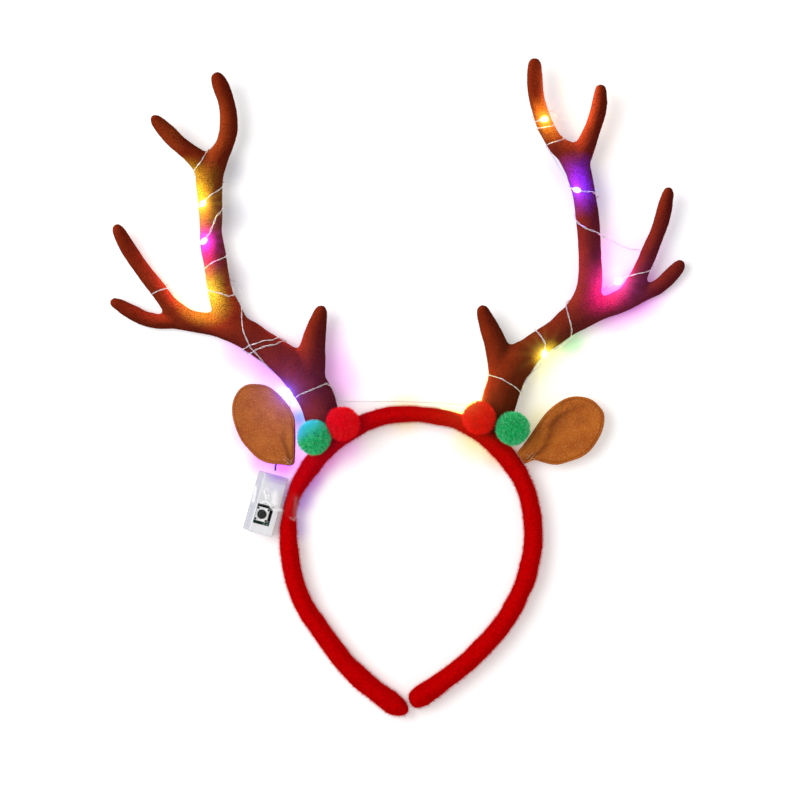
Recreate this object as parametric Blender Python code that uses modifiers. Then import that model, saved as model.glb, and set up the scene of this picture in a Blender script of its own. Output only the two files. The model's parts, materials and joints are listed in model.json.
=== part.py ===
"""Reindeer antler headband lying on its back: +Y runs to the antler tips and +Z faces the viewer."""

import math

import bmesh
import bpy
import numpy as np
from mathutils import Vector
from mathutils.bvhtree import BVHTree

MM = 0.001
GAP = 0.35

# Plush band: x, y, half width across the strip, half depth front to back. Its ends nearly meet at the bottom.
BAND_CENTRE_Z = 7.4
BAND_PATH = [
    (1.2, -149.8, 4.2, 6.6), (-2.6, -147.9, 5.2, 7.4), (-8.4, -143.8, 5.3, 7.5), (-14.8, -138.7, 5.2, 7.5),
    (-23.6, -130.5, 5.0, 7.5), (-31.3, -120.9, 4.9, 7.5), (-38.1, -111.2, 4.8, 7.5), (-44.4, -101.7, 4.6, 7.5),
    (-48.6, -90.0, 4.5, 7.5), (-51.0, -77.3, 4.5, 7.1), (-51.7, -67.0, 4.2, 6.5), (-50.7, -56.2, 3.3, 6.3),
    (-48.6, -49.6, 3.6, 6.4), (-45.3, -42.8, 4.3, 7.1), (-40.7, -36.1, 4.6, 7.5), (-31.7, -25.9, 4.9, 7.5),
    (-19.8, -18.1, 4.7, 7.5), (-9.5, -14.0, 4.2, 7.5), (0.9, -12.1, 4.0, 7.5), (10.3, -12.2, 3.9, 7.5),
    (19.7, -13.4, 3.9, 7.5), (27.7, -15.3, 4.0, 7.5), (39.0, -20.8, 4.5, 7.5), (47.0, -27.7, 4.7, 7.5),
    (53.1, -34.6, 4.9, 7.5), (58.5, -43.5, 4.5, 7.5), (61.8, -52.6, 4.6, 7.5), (63.5, -63.2, 4.5, 7.5),
    (63.3, -74.0, 4.6, 7.5), (61.1, -86.5, 4.7, 7.5), (55.2, -101.0, 4.8, 7.5), (47.5, -113.0, 4.8, 7.5),
    (38.8, -122.7, 4.8, 7.5), (29.0, -131.6, 4.8, 7.5), (18.5, -139.4, 5.0, 7.5), (11.4, -144.2, 4.9, 7.3),
    (9.4, -145.5, 3.9, 6.6),
]

# Antler branches: x, y, z of the middle line, half width. Each is a little thinner front to back.
ANTLER_DEPTH_SHARE = 0.88
LEFT_BRANCHES = {
    "trunk": [
        (-31.5, -23.3, 9.0, 5.2), (-33.1, -19.5, 9.3, 7.4), (-35.2, -14.3, 9.6, 8.5), (-37.4, -6.8, 9.8, 8.7),
        (-41.8, 1.2, 9.8, 8.8), (-47.9, 8.9, 9.5, 8.5), (-55.9, 15.3, 8.8, 7.5), (-64.2, 20.8, 8.3, 7.1),
        (-72.4, 26.1, 8.0, 7.2), (-80.8, 29.4, 6.9, 6.6), (-90.2, 30.5, 5.0, 5.2), (-97.8, 31.7, 4.5, 5.2),
        (-105.3, 32.4, 3.9, 4.5), (-111.2, 31.6, 3.9, 3.9), (-118.9, 32.7, 4.4, 3.9), (-126.4, 36.5, 5.2, 4.0),
        (-133.2, 40.3, 6.2, 3.1),
    ],
    "brow": [
        (-41.8, 2.6, 9.6, 7.5), (-40.9, 12.5, 9.8, 7.3), (-39.8, 21.1, 10.2, 6.0), (-37.8, 29.4, 11.0, 5.0),
        (-36.1, 36.4, 12.0, 3.5),
    ],
    "main": [
        (-76.1, 28.4, 7.8, 7.0), (-80.8, 37.8, 7.9, 6.8), (-83.8, 46.3, 8.1, 6.1), (-85.3, 55.7, 8.4, 5.8),
        (-86.9, 65.2, 8.8, 5.9), (-87.9, 75.4, 9.4, 5.6), (-88.2, 88.9, 10.4, 6.1), (-88.4, 98.9, 11.3, 6.7),
        (-85.5, 106.9, 12.0, 5.9), (-81.5, 114.0, 12.8, 4.6), (-79.2, 122.0, 13.6, 4.6), (-79.9, 132.3, 14.6, 4.3),
        (-82.7, 141.2, 15.6, 4.3), (-84.3, 145.0, 16.0, 3.8),
    ],
    "fork": [
        (-88.8, 101.8, 11.5, 6.1), (-93.1, 106.7, 12.0, 5.2), (-97.5, 110.4, 12.5, 4.5), (-103.4, 115.1, 13.2, 4.4),
        (-109.0, 120.8, 14.0, 4.3), (-113.4, 125.3, 14.8, 3.5),
    ],
    "upper": [
        (-97.8, 31.7, 4.9, 4.7), (-104.3, 36.4, 5.3, 4.9), (-108.6, 40.7, 5.9, 4.5), (-113.0, 47.0, 6.8, 4.2),
        (-116.8, 51.5, 7.4, 4.1), (-122.7, 59.5, 8.6, 4.1), (-127.8, 67.7, 9.8, 4.0), (-131.6, 74.5, 11.0, 3.4),
    ],
}
RIGHT_BRANCHES = {
    "trunk": [
        (42.8, -19.5, 9.0, 5.2), (44.6, -14.8, 9.3, 7.4), (47.2, -7.8, 9.6, 8.5), (49.3, -1.2, 9.7, 8.5),
        (51.9, 7.0, 9.7, 8.7), (57.3, 13.9, 9.3, 8.2), (62.0, 17.9, 8.6, 6.8), (68.5, 22.8, 8.0, 6.2),
        (74.5, 26.7, 7.9, 6.2), (81.3, 32.0, 7.8, 6.8), (89.3, 36.2, 7.5, 7.0), (97.8, 38.3, 5.8, 5.4),
        (105.3, 41.4, 5.0, 5.6), (114.7, 44.6, 4.0, 4.5), (122.2, 47.6, 4.2, 3.9), (128.2, 52.9, 5.0, 3.8),
        (132.5, 57.8, 5.8, 3.4),
    ],
    "brow": [
        (49.8, 4.9, 9.6, 7.5), (47.9, 13.4, 9.8, 6.6), (45.8, 21.4, 10.3, 5.6), (42.8, 28.8, 11.0, 4.9),
        (39.9, 36.0, 12.0, 3.7),
    ],
    "main": [
        (84.1, 35.0, 7.8, 6.6), (88.4, 41.6, 7.9, 6.6), (90.0, 48.6, 8.1, 6.1), (90.3, 56.6, 8.4, 5.8),
        (90.1, 65.6, 8.8, 5.7), (89.4, 75.4, 9.4, 5.8), (88.6, 83.4, 10.0, 5.8), (87.4, 90.9, 10.6, 5.7),
        (85.8, 98.0, 11.2, 6.0), (83.9, 104.1, 11.7, 6.3), (79.4, 110.7, 12.3, 5.6), (75.3, 113.5, 12.8, 4.8),
        (71.5, 118.7, 13.4, 4.3), (67.7, 126.2, 14.2, 4.2), (65.1, 134.7, 15.1, 4.2), (63.9, 144.1, 16.2, 4.2),
        (63.9, 151.6, 17.0, 3.6),
    ],
    "fork": [
        (84.1, 103.6, 11.8, 5.6), (86.5, 110.7, 12.3, 5.2), (89.3, 116.6, 13.0, 4.6), (92.1, 123.6, 13.8, 4.3),
        (94.3, 132.3, 15.0, 3.9), (94.9, 139.6, 16.0, 3.4),
    ],
    "upper": [
        (103.4, 39.2, 5.2, 4.7), (107.6, 43.9, 5.7, 4.9), (111.9, 50.3, 6.6, 4.6), (115.4, 58.0, 7.5, 4.2),
        (119.6, 67.4, 8.8, 4.1), (123.1, 76.4, 10.1, 3.9), (125.4, 85.8, 11.4, 3.9), (126.6, 92.0, 12.2, 3.1),
    ],
}

# Felt ears: outline (x, y) round from the root, then how each is cupped and folded.
FELT_THICKNESS = 2.4
EARS = {
    "ear_left": {
        "outline": [
            (-50.6, -36.6), (-54.3, -36.0), (-59.7, -35.6), (-64.5, -33.8), (-69.3, -29.9), (-73.2, -25.4),
            (-75.9, -20.0), (-77.6, -14.1), (-78.0, -9.3), (-77.1, -4.5), (-74.7, -0.2), (-70.8, 2.1),
            (-66.3, 2.4), (-61.5, 1.6), (-57.3, -1.2), (-53.7, -4.7), (-50.7, -8.9), (-48.6, -13.4),
            (-47.9, -19.1), (-48.0, -25.1), (-48.2, -32.0), (-48.4, -35.6),
        ],
        "middle": (-62.5, -17.5), "root": (-49.0, -36.5), "tip": (-73.0, 1.0), "root_z": 8.0, "tip_z": 9.4,
        "cup": 2.4, "crease": [(-50.4, -36.0), (-51.4, -30.8), (-53.8, -24.5), (-54.0, -19.0)],
        "fold_height": 1.7, "fold_side": 1.0,
    },
    "ear_right": {
        "outline": [
            (55.6, -30.2), (59.8, -24.8), (64.2, -18.3), (67.0, -14.3), (69.6, -11.2), (73.3, -7.8),
            (77.8, -4.9), (81.8, -3.5), (85.8, -3.5), (90.4, -4.9), (94.1, -7.5), (96.6, -10.6),
            (97.1, -14.0), (96.3, -18.8), (94.9, -22.8), (92.4, -27.1), (89.0, -30.5), (84.7, -33.1),
            (80.1, -34.8), (75.6, -36.0), (71.0, -35.7), (67.0, -34.8), (63.6, -34.1), (58.2, -35.8),
        ],
        "middle": (79.0, -20.5), "root": (59.0, -31.5), "tip": (94.0, -12.0), "root_z": 8.0, "tip_z": 9.4,
        "cup": 2.0, "crease": [(62.0, -32.5), (66.2, -30.6), (69.6, -26.3), (71.3, -21.7), (72.4, -16.6),
                               (75.6, -13.2), (79.6, -11.2)],
        "fold_height": 3.2, "fold_side": 1.0,
    },
}

# Pompoms: x, y, z of the middle, radius, and the neighbour each is pressed against.
POMPOMS = {
    "pompom_left_green": (-39.2, -22.9, 21.6, 8.7, "pompom_left_red"),
    "pompom_left_red": (-25.8, -16.5, 20.6, 8.7, "pompom_left_green"),
    "pompom_right_red": (37.8, -13.8, 21.4, 8.4, "pompom_right_green"),
    "pompom_right_green": (53.6, -18.8, 21.4, 8.6, "pompom_right_red"),
}

# Battery case: its own frame runs along (u), across (v) and out of the front face (n).
CASE_MIDDLE = (-62.3, -54.1, 7.75)
CASE_LEAN = math.radians(15.7)
CASE_ROLL = math.radians(19.7)
CASE_LENGTH = 28.5
CASE_WIDTH = 12.0
CASE_DEPTH = 10.4
CASE_WALL = 0.9
WINDOW_U = (-9.8, -0.4)
WINDOW_V = (-5.1, 3.0)
SWITCH_MIDDLE = (-5.1, -1.7)
SWITCH_SIDE = 6.0
SWITCH_TOP = 4.5
BUTTON_RADIUS = 1.9
BUTTON_TOP = 5.4
BOARD_TOP = -0.3
CELL_RADIUS = 3.9
CELL_LENGTH = 3.4

# Light wire route: x, y, then a height or the side of the antler it lies on, and 1 where it carries a light drop.
WIRE_RADIUS = 0.45
DROP_RADIUS = 1.5
DROP_HALF_LENGTH = 2.2
ROUTE_UP_LEFT = [
    (-57.6, -38.5, 9, 0), (-57.6, -36.5, 4.5, 0), (-55.2, -30.9, 2.2, 0),
    (-52.6, -26.5, 2.2, 1), (-51.2, -17.2, 2.2, 0), (-50.8, -9.2, 4, 0),
    (-51.0, -2.1, "edge", 1), (-53.8, 3.5, "edge", 0), (-56.6, 7.3, "edge", 0),
    (-61.1, 10.6, "front", 0), (-65.1, 14.8, "front", 0), (-69.2, 19.2, "front", 0),
    (-72.4, 26.6, "front", 0), (-73.3, 33.1, "front", 0), (-73.4, 38.8, "front", 0),
    (-73.8, 43.5, 9, 0), (-74.9, 46.8, 9, 0), (-76.8, 50.5, "edge", 0),
    (-82.7, 52.9, "back", 0), (-88.4, 54.5, "back", 0), (-91.4, 55.2, "edge", 0),
    (-86.0, 59.5, "front", 0), (-80.6, 62.5, "edge", 0), (-85.5, 65.6, "back", 0),
    (-93.4, 67.2, "edge", 0), (-90.9, 69.0, "front", 1), (-87.9, 73.1, "front", 0),
    (-85.1, 80.6, "front", 0), (-82.0, 87.0, "edge", 0), (-87.4, 85.8, "back", 0),
    (-94.5, 84.0, "edge", 0), (-91.6, 86.2, "front", 1), (-87.4, 90.7, "front", 0),
    (-81.4, 96.6, "edge", 0), (-88.4, 97.5, "back", 0), (-95.9, 100.6, "edge", 0),
    (-92.1, 106.0, "front", 0), (-89.1, 111.2, "front", 0),
]
ROUTE_DOWN_LEFT = [
    (-88.7, 115.3, "edge", 0), (-85.9, 109.7, "back", 0), (-86.5, 100.3, "back", 0),
    (-86.5, 89.5, "back", 0), (-86.0, 76.8, "back", 0), (-84.1, 62.7, "back", 0),
    (-81.3, 51.9, "back", 0), (-76.8, 43.9, "edge", 0), (-79.4, 43.2, "front", 0),
    (-84.8, 45.0, "front", 0), (-88.4, 45.9, "front", 0), (-92.1, 47.0, "edge", 1),
    (-98.7, 46.5, 7, 0), (-105.8, 46.9, 7, 0), (-109.0, 46.9, "front", 0),
    (-112.8, 45.8, "front", 0), (-116.3, 44.4, "edge", 0), (-113.3, 47.7, "back", 0),
    (-107.9, 49.3, "edge", 0), (-102.5, 51.0, 7, 0), (-97.3, 52.4, 8, 0),
    (-91.2, 53.0, "edge", 0), (-85.5, 49.1, "back", 0), (-78.0, 33.1, "back", 0),
    (-72.8, 20.4, "back", 0), (-70.4, 16.2, "edge", 0), (-66.7, 18.1, "front", 0),
    (-62.0, 19.8, "front", 0), (-57.3, 20.5, "front", 0), (-52.4, 21.6, "edge", 0),
    (-59.2, 17.6, "back", 0), (-67.7, 17.4, "back", 0), (-73.8, 18.1, "edge", 0),
    (-69.6, 20.2, "front", 0), (-63.2, 22.3, "front", 0), (-58.8, 22.6, "front", 0),
    (-55.2, 23.5, "edge", 0), (-52.2, 18.1, "back", 0), (-49.3, 8.7, "back", 0),
    (-49.3, 0.2, "back", 0), (-49.5, -5.5, "edge", 0), (-45.5, -2.6, "front", 0),
    (-40.4, -0.7, "front", 0), (-33.4, 2.3, "front", 0), (-31.3, 0.7, "edge", 0),
    (-34.8, -1.6, "back", 0), (-32.9, -4.5, "back", 0), (-29.1, -5.4, "edge", 0),
]
ROUTE_ACROSS = [
    (-22.6, -5.9, 10, 0), (-14.1, -6.1, 9.5, 0), (0.9, -5.9, 9, 0),
    (15.0, -6.6, 9, 0), (26.8, -7.3, 9, 0), (35.2, -7.8, 9, 1),
    (39.0, -5.3, "edge", 0),
]
ROUTE_UP_RIGHT = [
    (44.2, -2.1, "back", 0), (46.5, 2.6, "back", 0), (42.5, 6.3, "edge", 0),
    (45.1, 5.6, "front", 0), (48.4, 4.5, "front", 0), (53.9, 1.2, "front", 0),
    (58.0, -2.6, "edge", 0), (53.6, -0.2, "back", 0), (55.5, 4.9, "back", 0),
    (59.2, 5.4, "back", 0), (63.4, 8.1, 7, 0), (67.1, 10.6, 8, 0),
    (68.4, 16.2, "edge", 1), (68.9, 21.0, "front", 0), (67.2, 24.2, "front", 0),
    (64.2, 27.5, "edge", 0), (67.7, 22.3, "back", 0), (71.9, 19.5, "back", 0),
    (74.7, 18.6, "edge", 0), (81.1, 23.0, "edge", 0), (81.3, 28.2, "front", 0),
    (79.7, 35.0, "front", 0), (78.3, 41.1, "edge", 0), (83.7, 40.2, "back", 0),
    (90.2, 43.0, "back", 0), (96.3, 46.3, "edge", 0), (100.1, 48.6, 7.5, 0),
    (103.4, 50.1, 7, 1), (107.2, 52.4, "edge", 0), (113.1, 54.0, "front", 0),
    (120.1, 57.1, "edge", 0), (116.1, 60.9, "back", 0), (113.3, 65.3, "edge", 0),
    (110.0, 65.4, 8.5, 0), (106.5, 66.3, 9, 0), (101.7, 68.7, 9.5, 0),
    (96.6, 71.0, "edge", 0), (93.1, 73.1, "front", 0), (88.5, 74.7, "front", 0),
    (84.9, 77.1, "front", 0), (83.0, 81.5, "edge", 0), (89.3, 84.8, "back", 0),
    (94.2, 90.5, "edge", 0), (90.7, 92.1, "front", 0), (87.3, 92.1, "front", 0),
    (83.7, 92.8, "front", 1), (80.1, 94.2, "edge", 0), (81.8, 98.9, "back", 0),
    (79.0, 105.0, "back", 0), (72.4, 109.3, "back", 0), (69.1, 113.5, "edge", 0),
    (71.0, 114.6, "front", 0), (76.4, 116.2, "front", 0), (79.0, 117.3, "edge", 0), (72.4, 119.1, "back", 0),
    (64.4, 122.0, "edge", 0), (68.9, 122.0, "front", 0), (74.5, 123.4, "edge", 0),
    (74.7, 126.7, 16, 0), (72.1, 130.0, "edge", 0), (67.2, 130.0, "back", 0),
    (60.4, 127.0, "edge", 0), (64.0, 124.8, "front", 0), (68.4, 125.7, "front", 1),
]

# Name, base colour, roughness, metallic.
FINISHES = {
    "plush_red": ((0.58, 0.0, 0.0), 0.9, 0.0),
    "velvet_brown": ((0.15, 0.02, 0.01), 0.85, 0.0),
    "felt_tan": ((0.45, 0.15, 0.03), 0.95, 0.0),
    "pompom_green": ((0.02, 0.32, 0.11), 0.95, 0.0),
    "pompom_red": ((0.75, 0.01, 0.02), 0.95, 0.0),
    "silver_wire": ((0.8, 0.8, 0.8), 0.3, 1.0),
    "clear_plastic": ((0.9, 0.92, 0.94), 0.2, 0.0),
    "cell_steel": ((0.7, 0.7, 0.7), 0.3, 1.0),
    "board_green": ((0.02, 0.3, 0.1), 0.4, 0.0),
    "switch_plate": ((0.8, 0.8, 0.8), 0.35, 1.0),
    "button_black": ((0.02, 0.02, 0.02), 0.5, 0.0),
    "clear_tape": ((0.9, 0.9, 0.9), 0.1, 0.0),
}


def clear_scene():
    for obj in list(bpy.data.objects):
        bpy.data.objects.remove(obj, do_unlink=True)


def new_collection(name, hidden):
    made = bpy.data.collections.new(name)
    made.hide_render = hidden
    bpy.context.scene.collection.children.link(made)
    return made


def finish(name):
    found = bpy.data.materials.get(name)
    if found:
        return found
    colour, roughness, metallic = FINISHES[name]
    made = bpy.data.materials.new(name)
    made.use_nodes = True
    shader = made.node_tree.nodes["Principled BSDF"]
    shader.inputs["Base Color"].default_value = (*colour, 1.0)
    shader.inputs["Roughness"].default_value = roughness
    shader.inputs["Metallic"].default_value = metallic
    return made


def new_object(name, points_mm, faces, material=None, group=None):
    """A mesh object with its faces turned outwards."""
    mesh = bpy.data.meshes.new(name)
    mesh.from_pydata([tuple(float(c) * MM for c in p) for p in points_mm], [], [tuple(f) for f in faces])
    shape = bmesh.new()
    shape.from_mesh(mesh)
    bmesh.ops.recalc_face_normals(shape, faces=shape.faces)
    if shape.calc_volume(signed=True) < 0:
        bmesh.ops.reverse_faces(shape, faces=shape.faces)
    shape.to_mesh(mesh)
    shape.free()
    made = bpy.data.objects.new(name, mesh)
    (group or MODEL).objects.link(made)
    if group is CUTTERS:
        made.display_type = "WIRE"
        made.hide_render = True
    if material:
        mesh.materials.append(finish(material))
    return made


def bake(obj):
    """Gives the object the mesh that its modifiers make, and drops them."""
    graph = bpy.context.evaluated_depsgraph_get()
    mesh = bpy.data.meshes.new_from_object(obj.evaluated_get(graph))
    obj.modifiers.clear()
    old = obj.data
    obj.data = mesh
    bpy.data.meshes.remove(old)


def keep_largest(obj):
    shape = bmesh.new()
    shape.from_mesh(obj.data)
    left = set(shape.verts)
    islands = []
    while left:
        island = {left.pop()}
        front = list(island)
        while front:
            here = front.pop()
            for vert in [edge.other_vert(here) for edge in here.link_edges]:
                if vert in left:
                    left.discard(vert)
                    island.add(vert)
                    front.append(vert)
        islands.append(island)
    islands.sort(key=len)
    for island in islands[:-1]:
        bmesh.ops.delete(shape, geom=list(island), context="VERTS")
    shape.to_mesh(obj.data)
    shape.free()


def carve(obj, *cutters):
    """Cuts each cutter's shape out of the object, and keeps its largest piece."""
    for cutter in cutters:
        cut = obj.modifiers.new("carve", "BOOLEAN")
        cut.operation = "DIFFERENCE"
        cut.solver = "EXACT"
        cut.object = cutter
        bake(obj)
    keep_largest(obj)


def grown(obj, amount_mm):
    """A hidden copy of the object, larger by this much all over, to cut neighbours with."""
    copy = bpy.data.objects.new(obj.name + "_space", obj.data.copy())
    CUTTERS.objects.link(copy)
    copy.display_type = "WIRE"
    copy.hide_render = True
    push = copy.modifiers.new("grow", "DISPLACE")
    push.strength = amount_mm * MM
    push.mid_level = 0.0
    bake(copy)
    return copy


def smooth_rows(rows, steps):
    """Rows in between the table's, on a Catmull-Rom curve through them."""
    table = np.array(rows, float)
    ends = [2 * table[0] - table[1], *table, 2 * table[-1] - table[-2]]
    made = []
    for a, b, c, d in zip(ends, ends[1:], ends[2:], ends[3:]):
        for t in np.arange(steps) / steps:
            made.append(
                0.5 * (2 * b + (c - a) * t + (2 * a - 5 * b + 4 * c - d) * t**2 + (3 * b - a - 3 * c + d) * t**3)
            )
    made.append(table[-1])
    return np.array(made)


def tube(middle, half_width, half_depth, sides):
    """Points and faces of a rounded bar along these points, with domed ends."""
    along = np.gradient(middle, axis=0)
    along /= np.linalg.norm(along, axis=1)[:, None]
    across = np.column_stack([-along[:, 1], along[:, 0], np.zeros(len(along))])
    across /= np.linalg.norm(across, axis=1)[:, None]
    out = np.cross(along, across)
    angles = np.arange(sides) * 2 * math.pi / sides

    def ring(k, share, ahead):
        spread = np.cos(angles)[:, None] * across[k] * half_width[k] + np.sin(angles)[:, None] * out[k] * half_depth[k]
        return middle[k] + along[k] * ahead + spread * share

    last = len(middle) - 1
    dome = [math.radians(a) for a in (70, 42)]
    rings = [ring(0, math.cos(a), -half_width[0] * math.sin(a)) for a in dome]
    rings += [ring(k, 1.0, 0.0) for k in range(last + 1)]
    rings += [ring(last, math.cos(a), half_width[last] * math.sin(a)) for a in reversed(dome)]
    points = list(np.concatenate(rings))
    poles = (middle[0] - along[0] * half_width[0], middle[last] + along[last] * half_width[last])
    points += list(poles)
    faces = []
    for r in range(len(rings) - 1):
        for s in range(sides):
            n = (s + 1) % sides
            faces.append((r * sides + s, r * sides + n, (r + 1) * sides + n, (r + 1) * sides + s))
    top = (len(rings) - 1) * sides
    for s in range(sides):
        n = (s + 1) % sides
        faces.append((n, s, len(points) - 2))
        faces.append((top + s, top + n, len(points) - 1))
    return points, faces


def rest_on_floor(obj):
    for vert in obj.data.vertices:
        vert.co.z = max(vert.co.z, 0.0)


def make_band():
    rows = smooth_rows(BAND_PATH, 2)
    middle = np.column_stack([rows[:, 0], rows[:, 1], np.full(len(rows), BAND_CENTRE_Z)])
    sides = 10
    points, faces = tube(middle, rows[:, 2], rows[:, 3] / math.cos(math.pi / sides), sides)
    band = new_object("band", points, faces, "plush_red")
    rest_on_floor(band)
    return band


def make_antler(name, branches, triangles):
    points, faces = [], []
    for rows in branches.values():
        dense = smooth_rows(rows, 4)
        more, quads = tube(dense[:, :3], dense[:, 3], dense[:, 3] * ANTLER_DEPTH_SHARE, 20)
        faces += [tuple(i + len(points) for i in f) for f in quads]
        points += more
    antler = new_object(name, points, faces, "velvet_brown")
    weld = antler.modifiers.new("one skin", "REMESH")
    weld.mode = "VOXEL"
    weld.voxel_size = 0.8 * MM
    soft = antler.modifiers.new("soft crotches", "SMOOTH")
    soft.factor = 0.5
    soft.iterations = 8
    bake(antler)
    thin = antler.modifiers.new("fewer faces", "DECIMATE")
    thin.ratio = triangles / (2 * len(antler.data.polygons))
    bake(antler)
    rest_on_floor(antler)
    antler.data.materials.clear()
    antler.data.materials.append(finish("velvet_brown"))
    return antler


def crease_lift(point, crease, side):
    """How far the fold lifts this point, from 0 to 1: 1 on the folded side of the crease."""
    best = None
    for k in range(len(crease) - 1):
        a, b = np.array(crease[k]), np.array(crease[k + 1])
        t = float(np.clip(np.dot(point - a, b - a) / np.dot(b - a, b - a), 0, 1))
        off = point - (a + t * (b - a))
        far = float(np.linalg.norm(off))
        if best is None or far < best[0]:
            turn = side * ((b - a)[0] * off[1] - (b - a)[1] * off[0])
            past_end = k == len(crease) - 2 and t == 1.0
            best = (far, math.copysign(1.0, turn), past_end)
    far, sign, past_end = best
    step = min(max((sign * far + 0.9) / 1.8, 0.0), 1.0)
    lift = step * step * (3 - 2 * step)
    return lift * math.exp(-far / 4.0) if past_end else lift


def make_ear(name, ear):
    """A cupped sheet of doubled felt: rings from the middle out to the outline, front and back."""
    outline = smooth_rows(ear["outline"] + ear["outline"][:1], 2)[:-1]
    middle, root, tip = (np.array(ear[key]) for key in ("middle", "root", "tip"))
    span = tip - root
    count = len(outline)

    def height(spot, share):
        along = float(np.clip(np.dot(spot - root, span) / np.dot(span, span), 0, 1))
        return ear["root_z"] + (ear["tip_z"] - ear["root_z"]) * along + ear["cup"] * (share**2 - 0.5)

    half = FELT_THICKNESS / 2
    front_shares = (0.3, 0.5, 0.66, 0.8, 0.94)
    back_shares = (0.94, 0.55)
    points, rings = [], []
    for share, face in [(s, 1) for s in front_shares] + [(1.0, 0)] + [(s, -1) for s in back_shares]:
        ring = []
        for edge in outline:
            spot = middle + (edge - middle) * share
            lift = ear["fold_height"] * crease_lift(spot, ear["crease"], ear["fold_side"]) if face >= 0 else 0.0
            lift *= 1.0 if face == 1 else 0.45
            ring.append(len(points))
            points.append((spot[0], spot[1], height(spot, share) + face * half + lift))
        rings.append(ring)
    faces = []
    for inner, outer in zip(rings, rings[1:]):
        for k in range(count):
            n = (k + 1) % count
            faces.append((inner[k], inner[n], outer[n], outer[k]))
    for ring, face in ((rings[0], 1), (rings[-1], -1)):
        points.append((middle[0], middle[1], height(middle, 0.0) + face * half))
        for k in range(count):
            faces.append((ring[k], ring[(k + 1) % count], len(points) - 1))
    return new_object(name, points, faces, "felt_tan")


def make_pompom(name, x, y, z, radius, neighbour):
    """A ball of short locks, one on each face of an icosphere, pressed flat where the next pompom touches it."""
    shape = bmesh.new()
    bmesh.ops.create_icosphere(shape, subdivisions=2, radius=radius * 0.93)
    locks = bmesh.ops.poke(shape, faces=shape.faces)["verts"]
    for lock in locks:
        lock.co = lock.co.normalized() * radius
    middle = Vector((x, y, z))
    other = Vector(POMPOMS[neighbour][:3])
    shared = (other - middle).normalized()
    reach = (other - middle).length * radius / (radius + POMPOMS[neighbour][3]) - GAP / 2
    for vert in shape.verts:
        past = vert.co.dot(shared) - reach
        if past > 0:
            vert.co -= shared * past
        vert.co += middle
    points = [tuple(v.co) for v in shape.verts]
    faces = [tuple(v.index for v in f.verts) for f in shape.faces]
    shape.free()
    return new_object(name, points, faces, "pompom_green" if name.endswith("green") else "pompom_red")


def case_axes():
    up = Vector((0, 0, 1))
    along = Vector((math.sin(CASE_LEAN), math.cos(CASE_LEAN), 0))
    flat_across = Vector((math.cos(CASE_LEAN), -math.sin(CASE_LEAN), 0))
    across = flat_across * math.cos(CASE_ROLL) - up * math.sin(CASE_ROLL)
    out = flat_across * math.sin(CASE_ROLL) + up * math.cos(CASE_ROLL)
    return along, across, out


def in_case(u, v, n):
    along, across, out = case_axes()
    return Vector(CASE_MIDDLE) + along * u + across * v + out * n


def case_block(name, u, v, n, material=None, group=None, bevel=0.0):
    """A block in the battery case's frame, from each pair's low to its high."""
    corners = [in_case(a, b, c) for a in u for b in v for c in n]
    faces = [(0, 1, 3, 2), (4, 6, 7, 5), (0, 4, 5, 1), (2, 3, 7, 6), (0, 2, 6, 4), (1, 5, 7, 3)]
    block = new_object(name, corners, faces, material, group)
    if bevel:
        edge = block.modifiers.new("soft edges", "BEVEL")
        edge.width = bevel * MM
        edge.segments = 2
        bake(block)
    return block


def case_rod(name, start, end, radius, sides, material=None, group=None):
    """A round rod between two points of the battery case's frame."""
    a, b = in_case(*start), in_case(*end)
    along = (b - a).normalized()
    side = along.orthogonal().normalized()
    other = along.cross(side)
    angles = [2 * math.pi * k / sides for k in range(sides)]
    points = [p + (side * math.cos(t) + other * math.sin(t)) * radius for p in (a, b) for t in angles]
    faces = [(k, (k + 1) % sides, sides + (k + 1) % sides, sides + k) for k in range(sides)]
    faces += [tuple(range(sides)), tuple(range(sides, 2 * sides))]
    return new_object(name, points, faces, material, group)


def make_battery_case():
    hu, hv, hn = CASE_LENGTH / 2, CASE_WIDTH / 2, CASE_DEPTH / 2
    wall = CASE_WALL
    shell = case_block("battery_case", (-hu, hu), (-hv, hv), (-hn, hn), "clear_plastic", bevel=0.5)
    hollow = case_block("case_hollow", (wall - hu, hu - wall), (wall - hv, hv - wall), (wall - hn, hn - wall),
                        group=CUTTERS)
    window = case_block("case_window", WINDOW_U, WINDOW_V, (hn - wall - 0.5, hn + 1.0), group=CUTTERS)
    carve(shell, hollow, window)

    for k in range(3):
        start = 1.6 + k * (CELL_LENGTH + GAP)
        case_rod(f"cell_{k + 1}", (start, 0, 0), (start + CELL_LENGTH, 0, 0), CELL_RADIUS, 20, "cell_steel")

    case_block("circuit_board", (-10.8, 0.6), (-4.7, 4.7), (BOARD_TOP - 1.2, BOARD_TOP), "board_green")
    u, v = SWITCH_MIDDLE
    half = SWITCH_SIDE / 2
    body = case_block("switch_body", (u - half, u + half), (v - half, v + half), (BOARD_TOP + 0.3, SWITCH_TOP),
                      "switch_plate")
    well = case_rod("button_well", (u, v, 2.4), (u, v, SWITCH_TOP + 1), BUTTON_RADIUS + GAP, 24, group=CUTTERS)
    carve(body, well)
    case_rod("switch_button", (u, v, 3.2), (u, v, BUTTON_TOP), BUTTON_RADIUS, 24, "button_black")
    return shell


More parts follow.
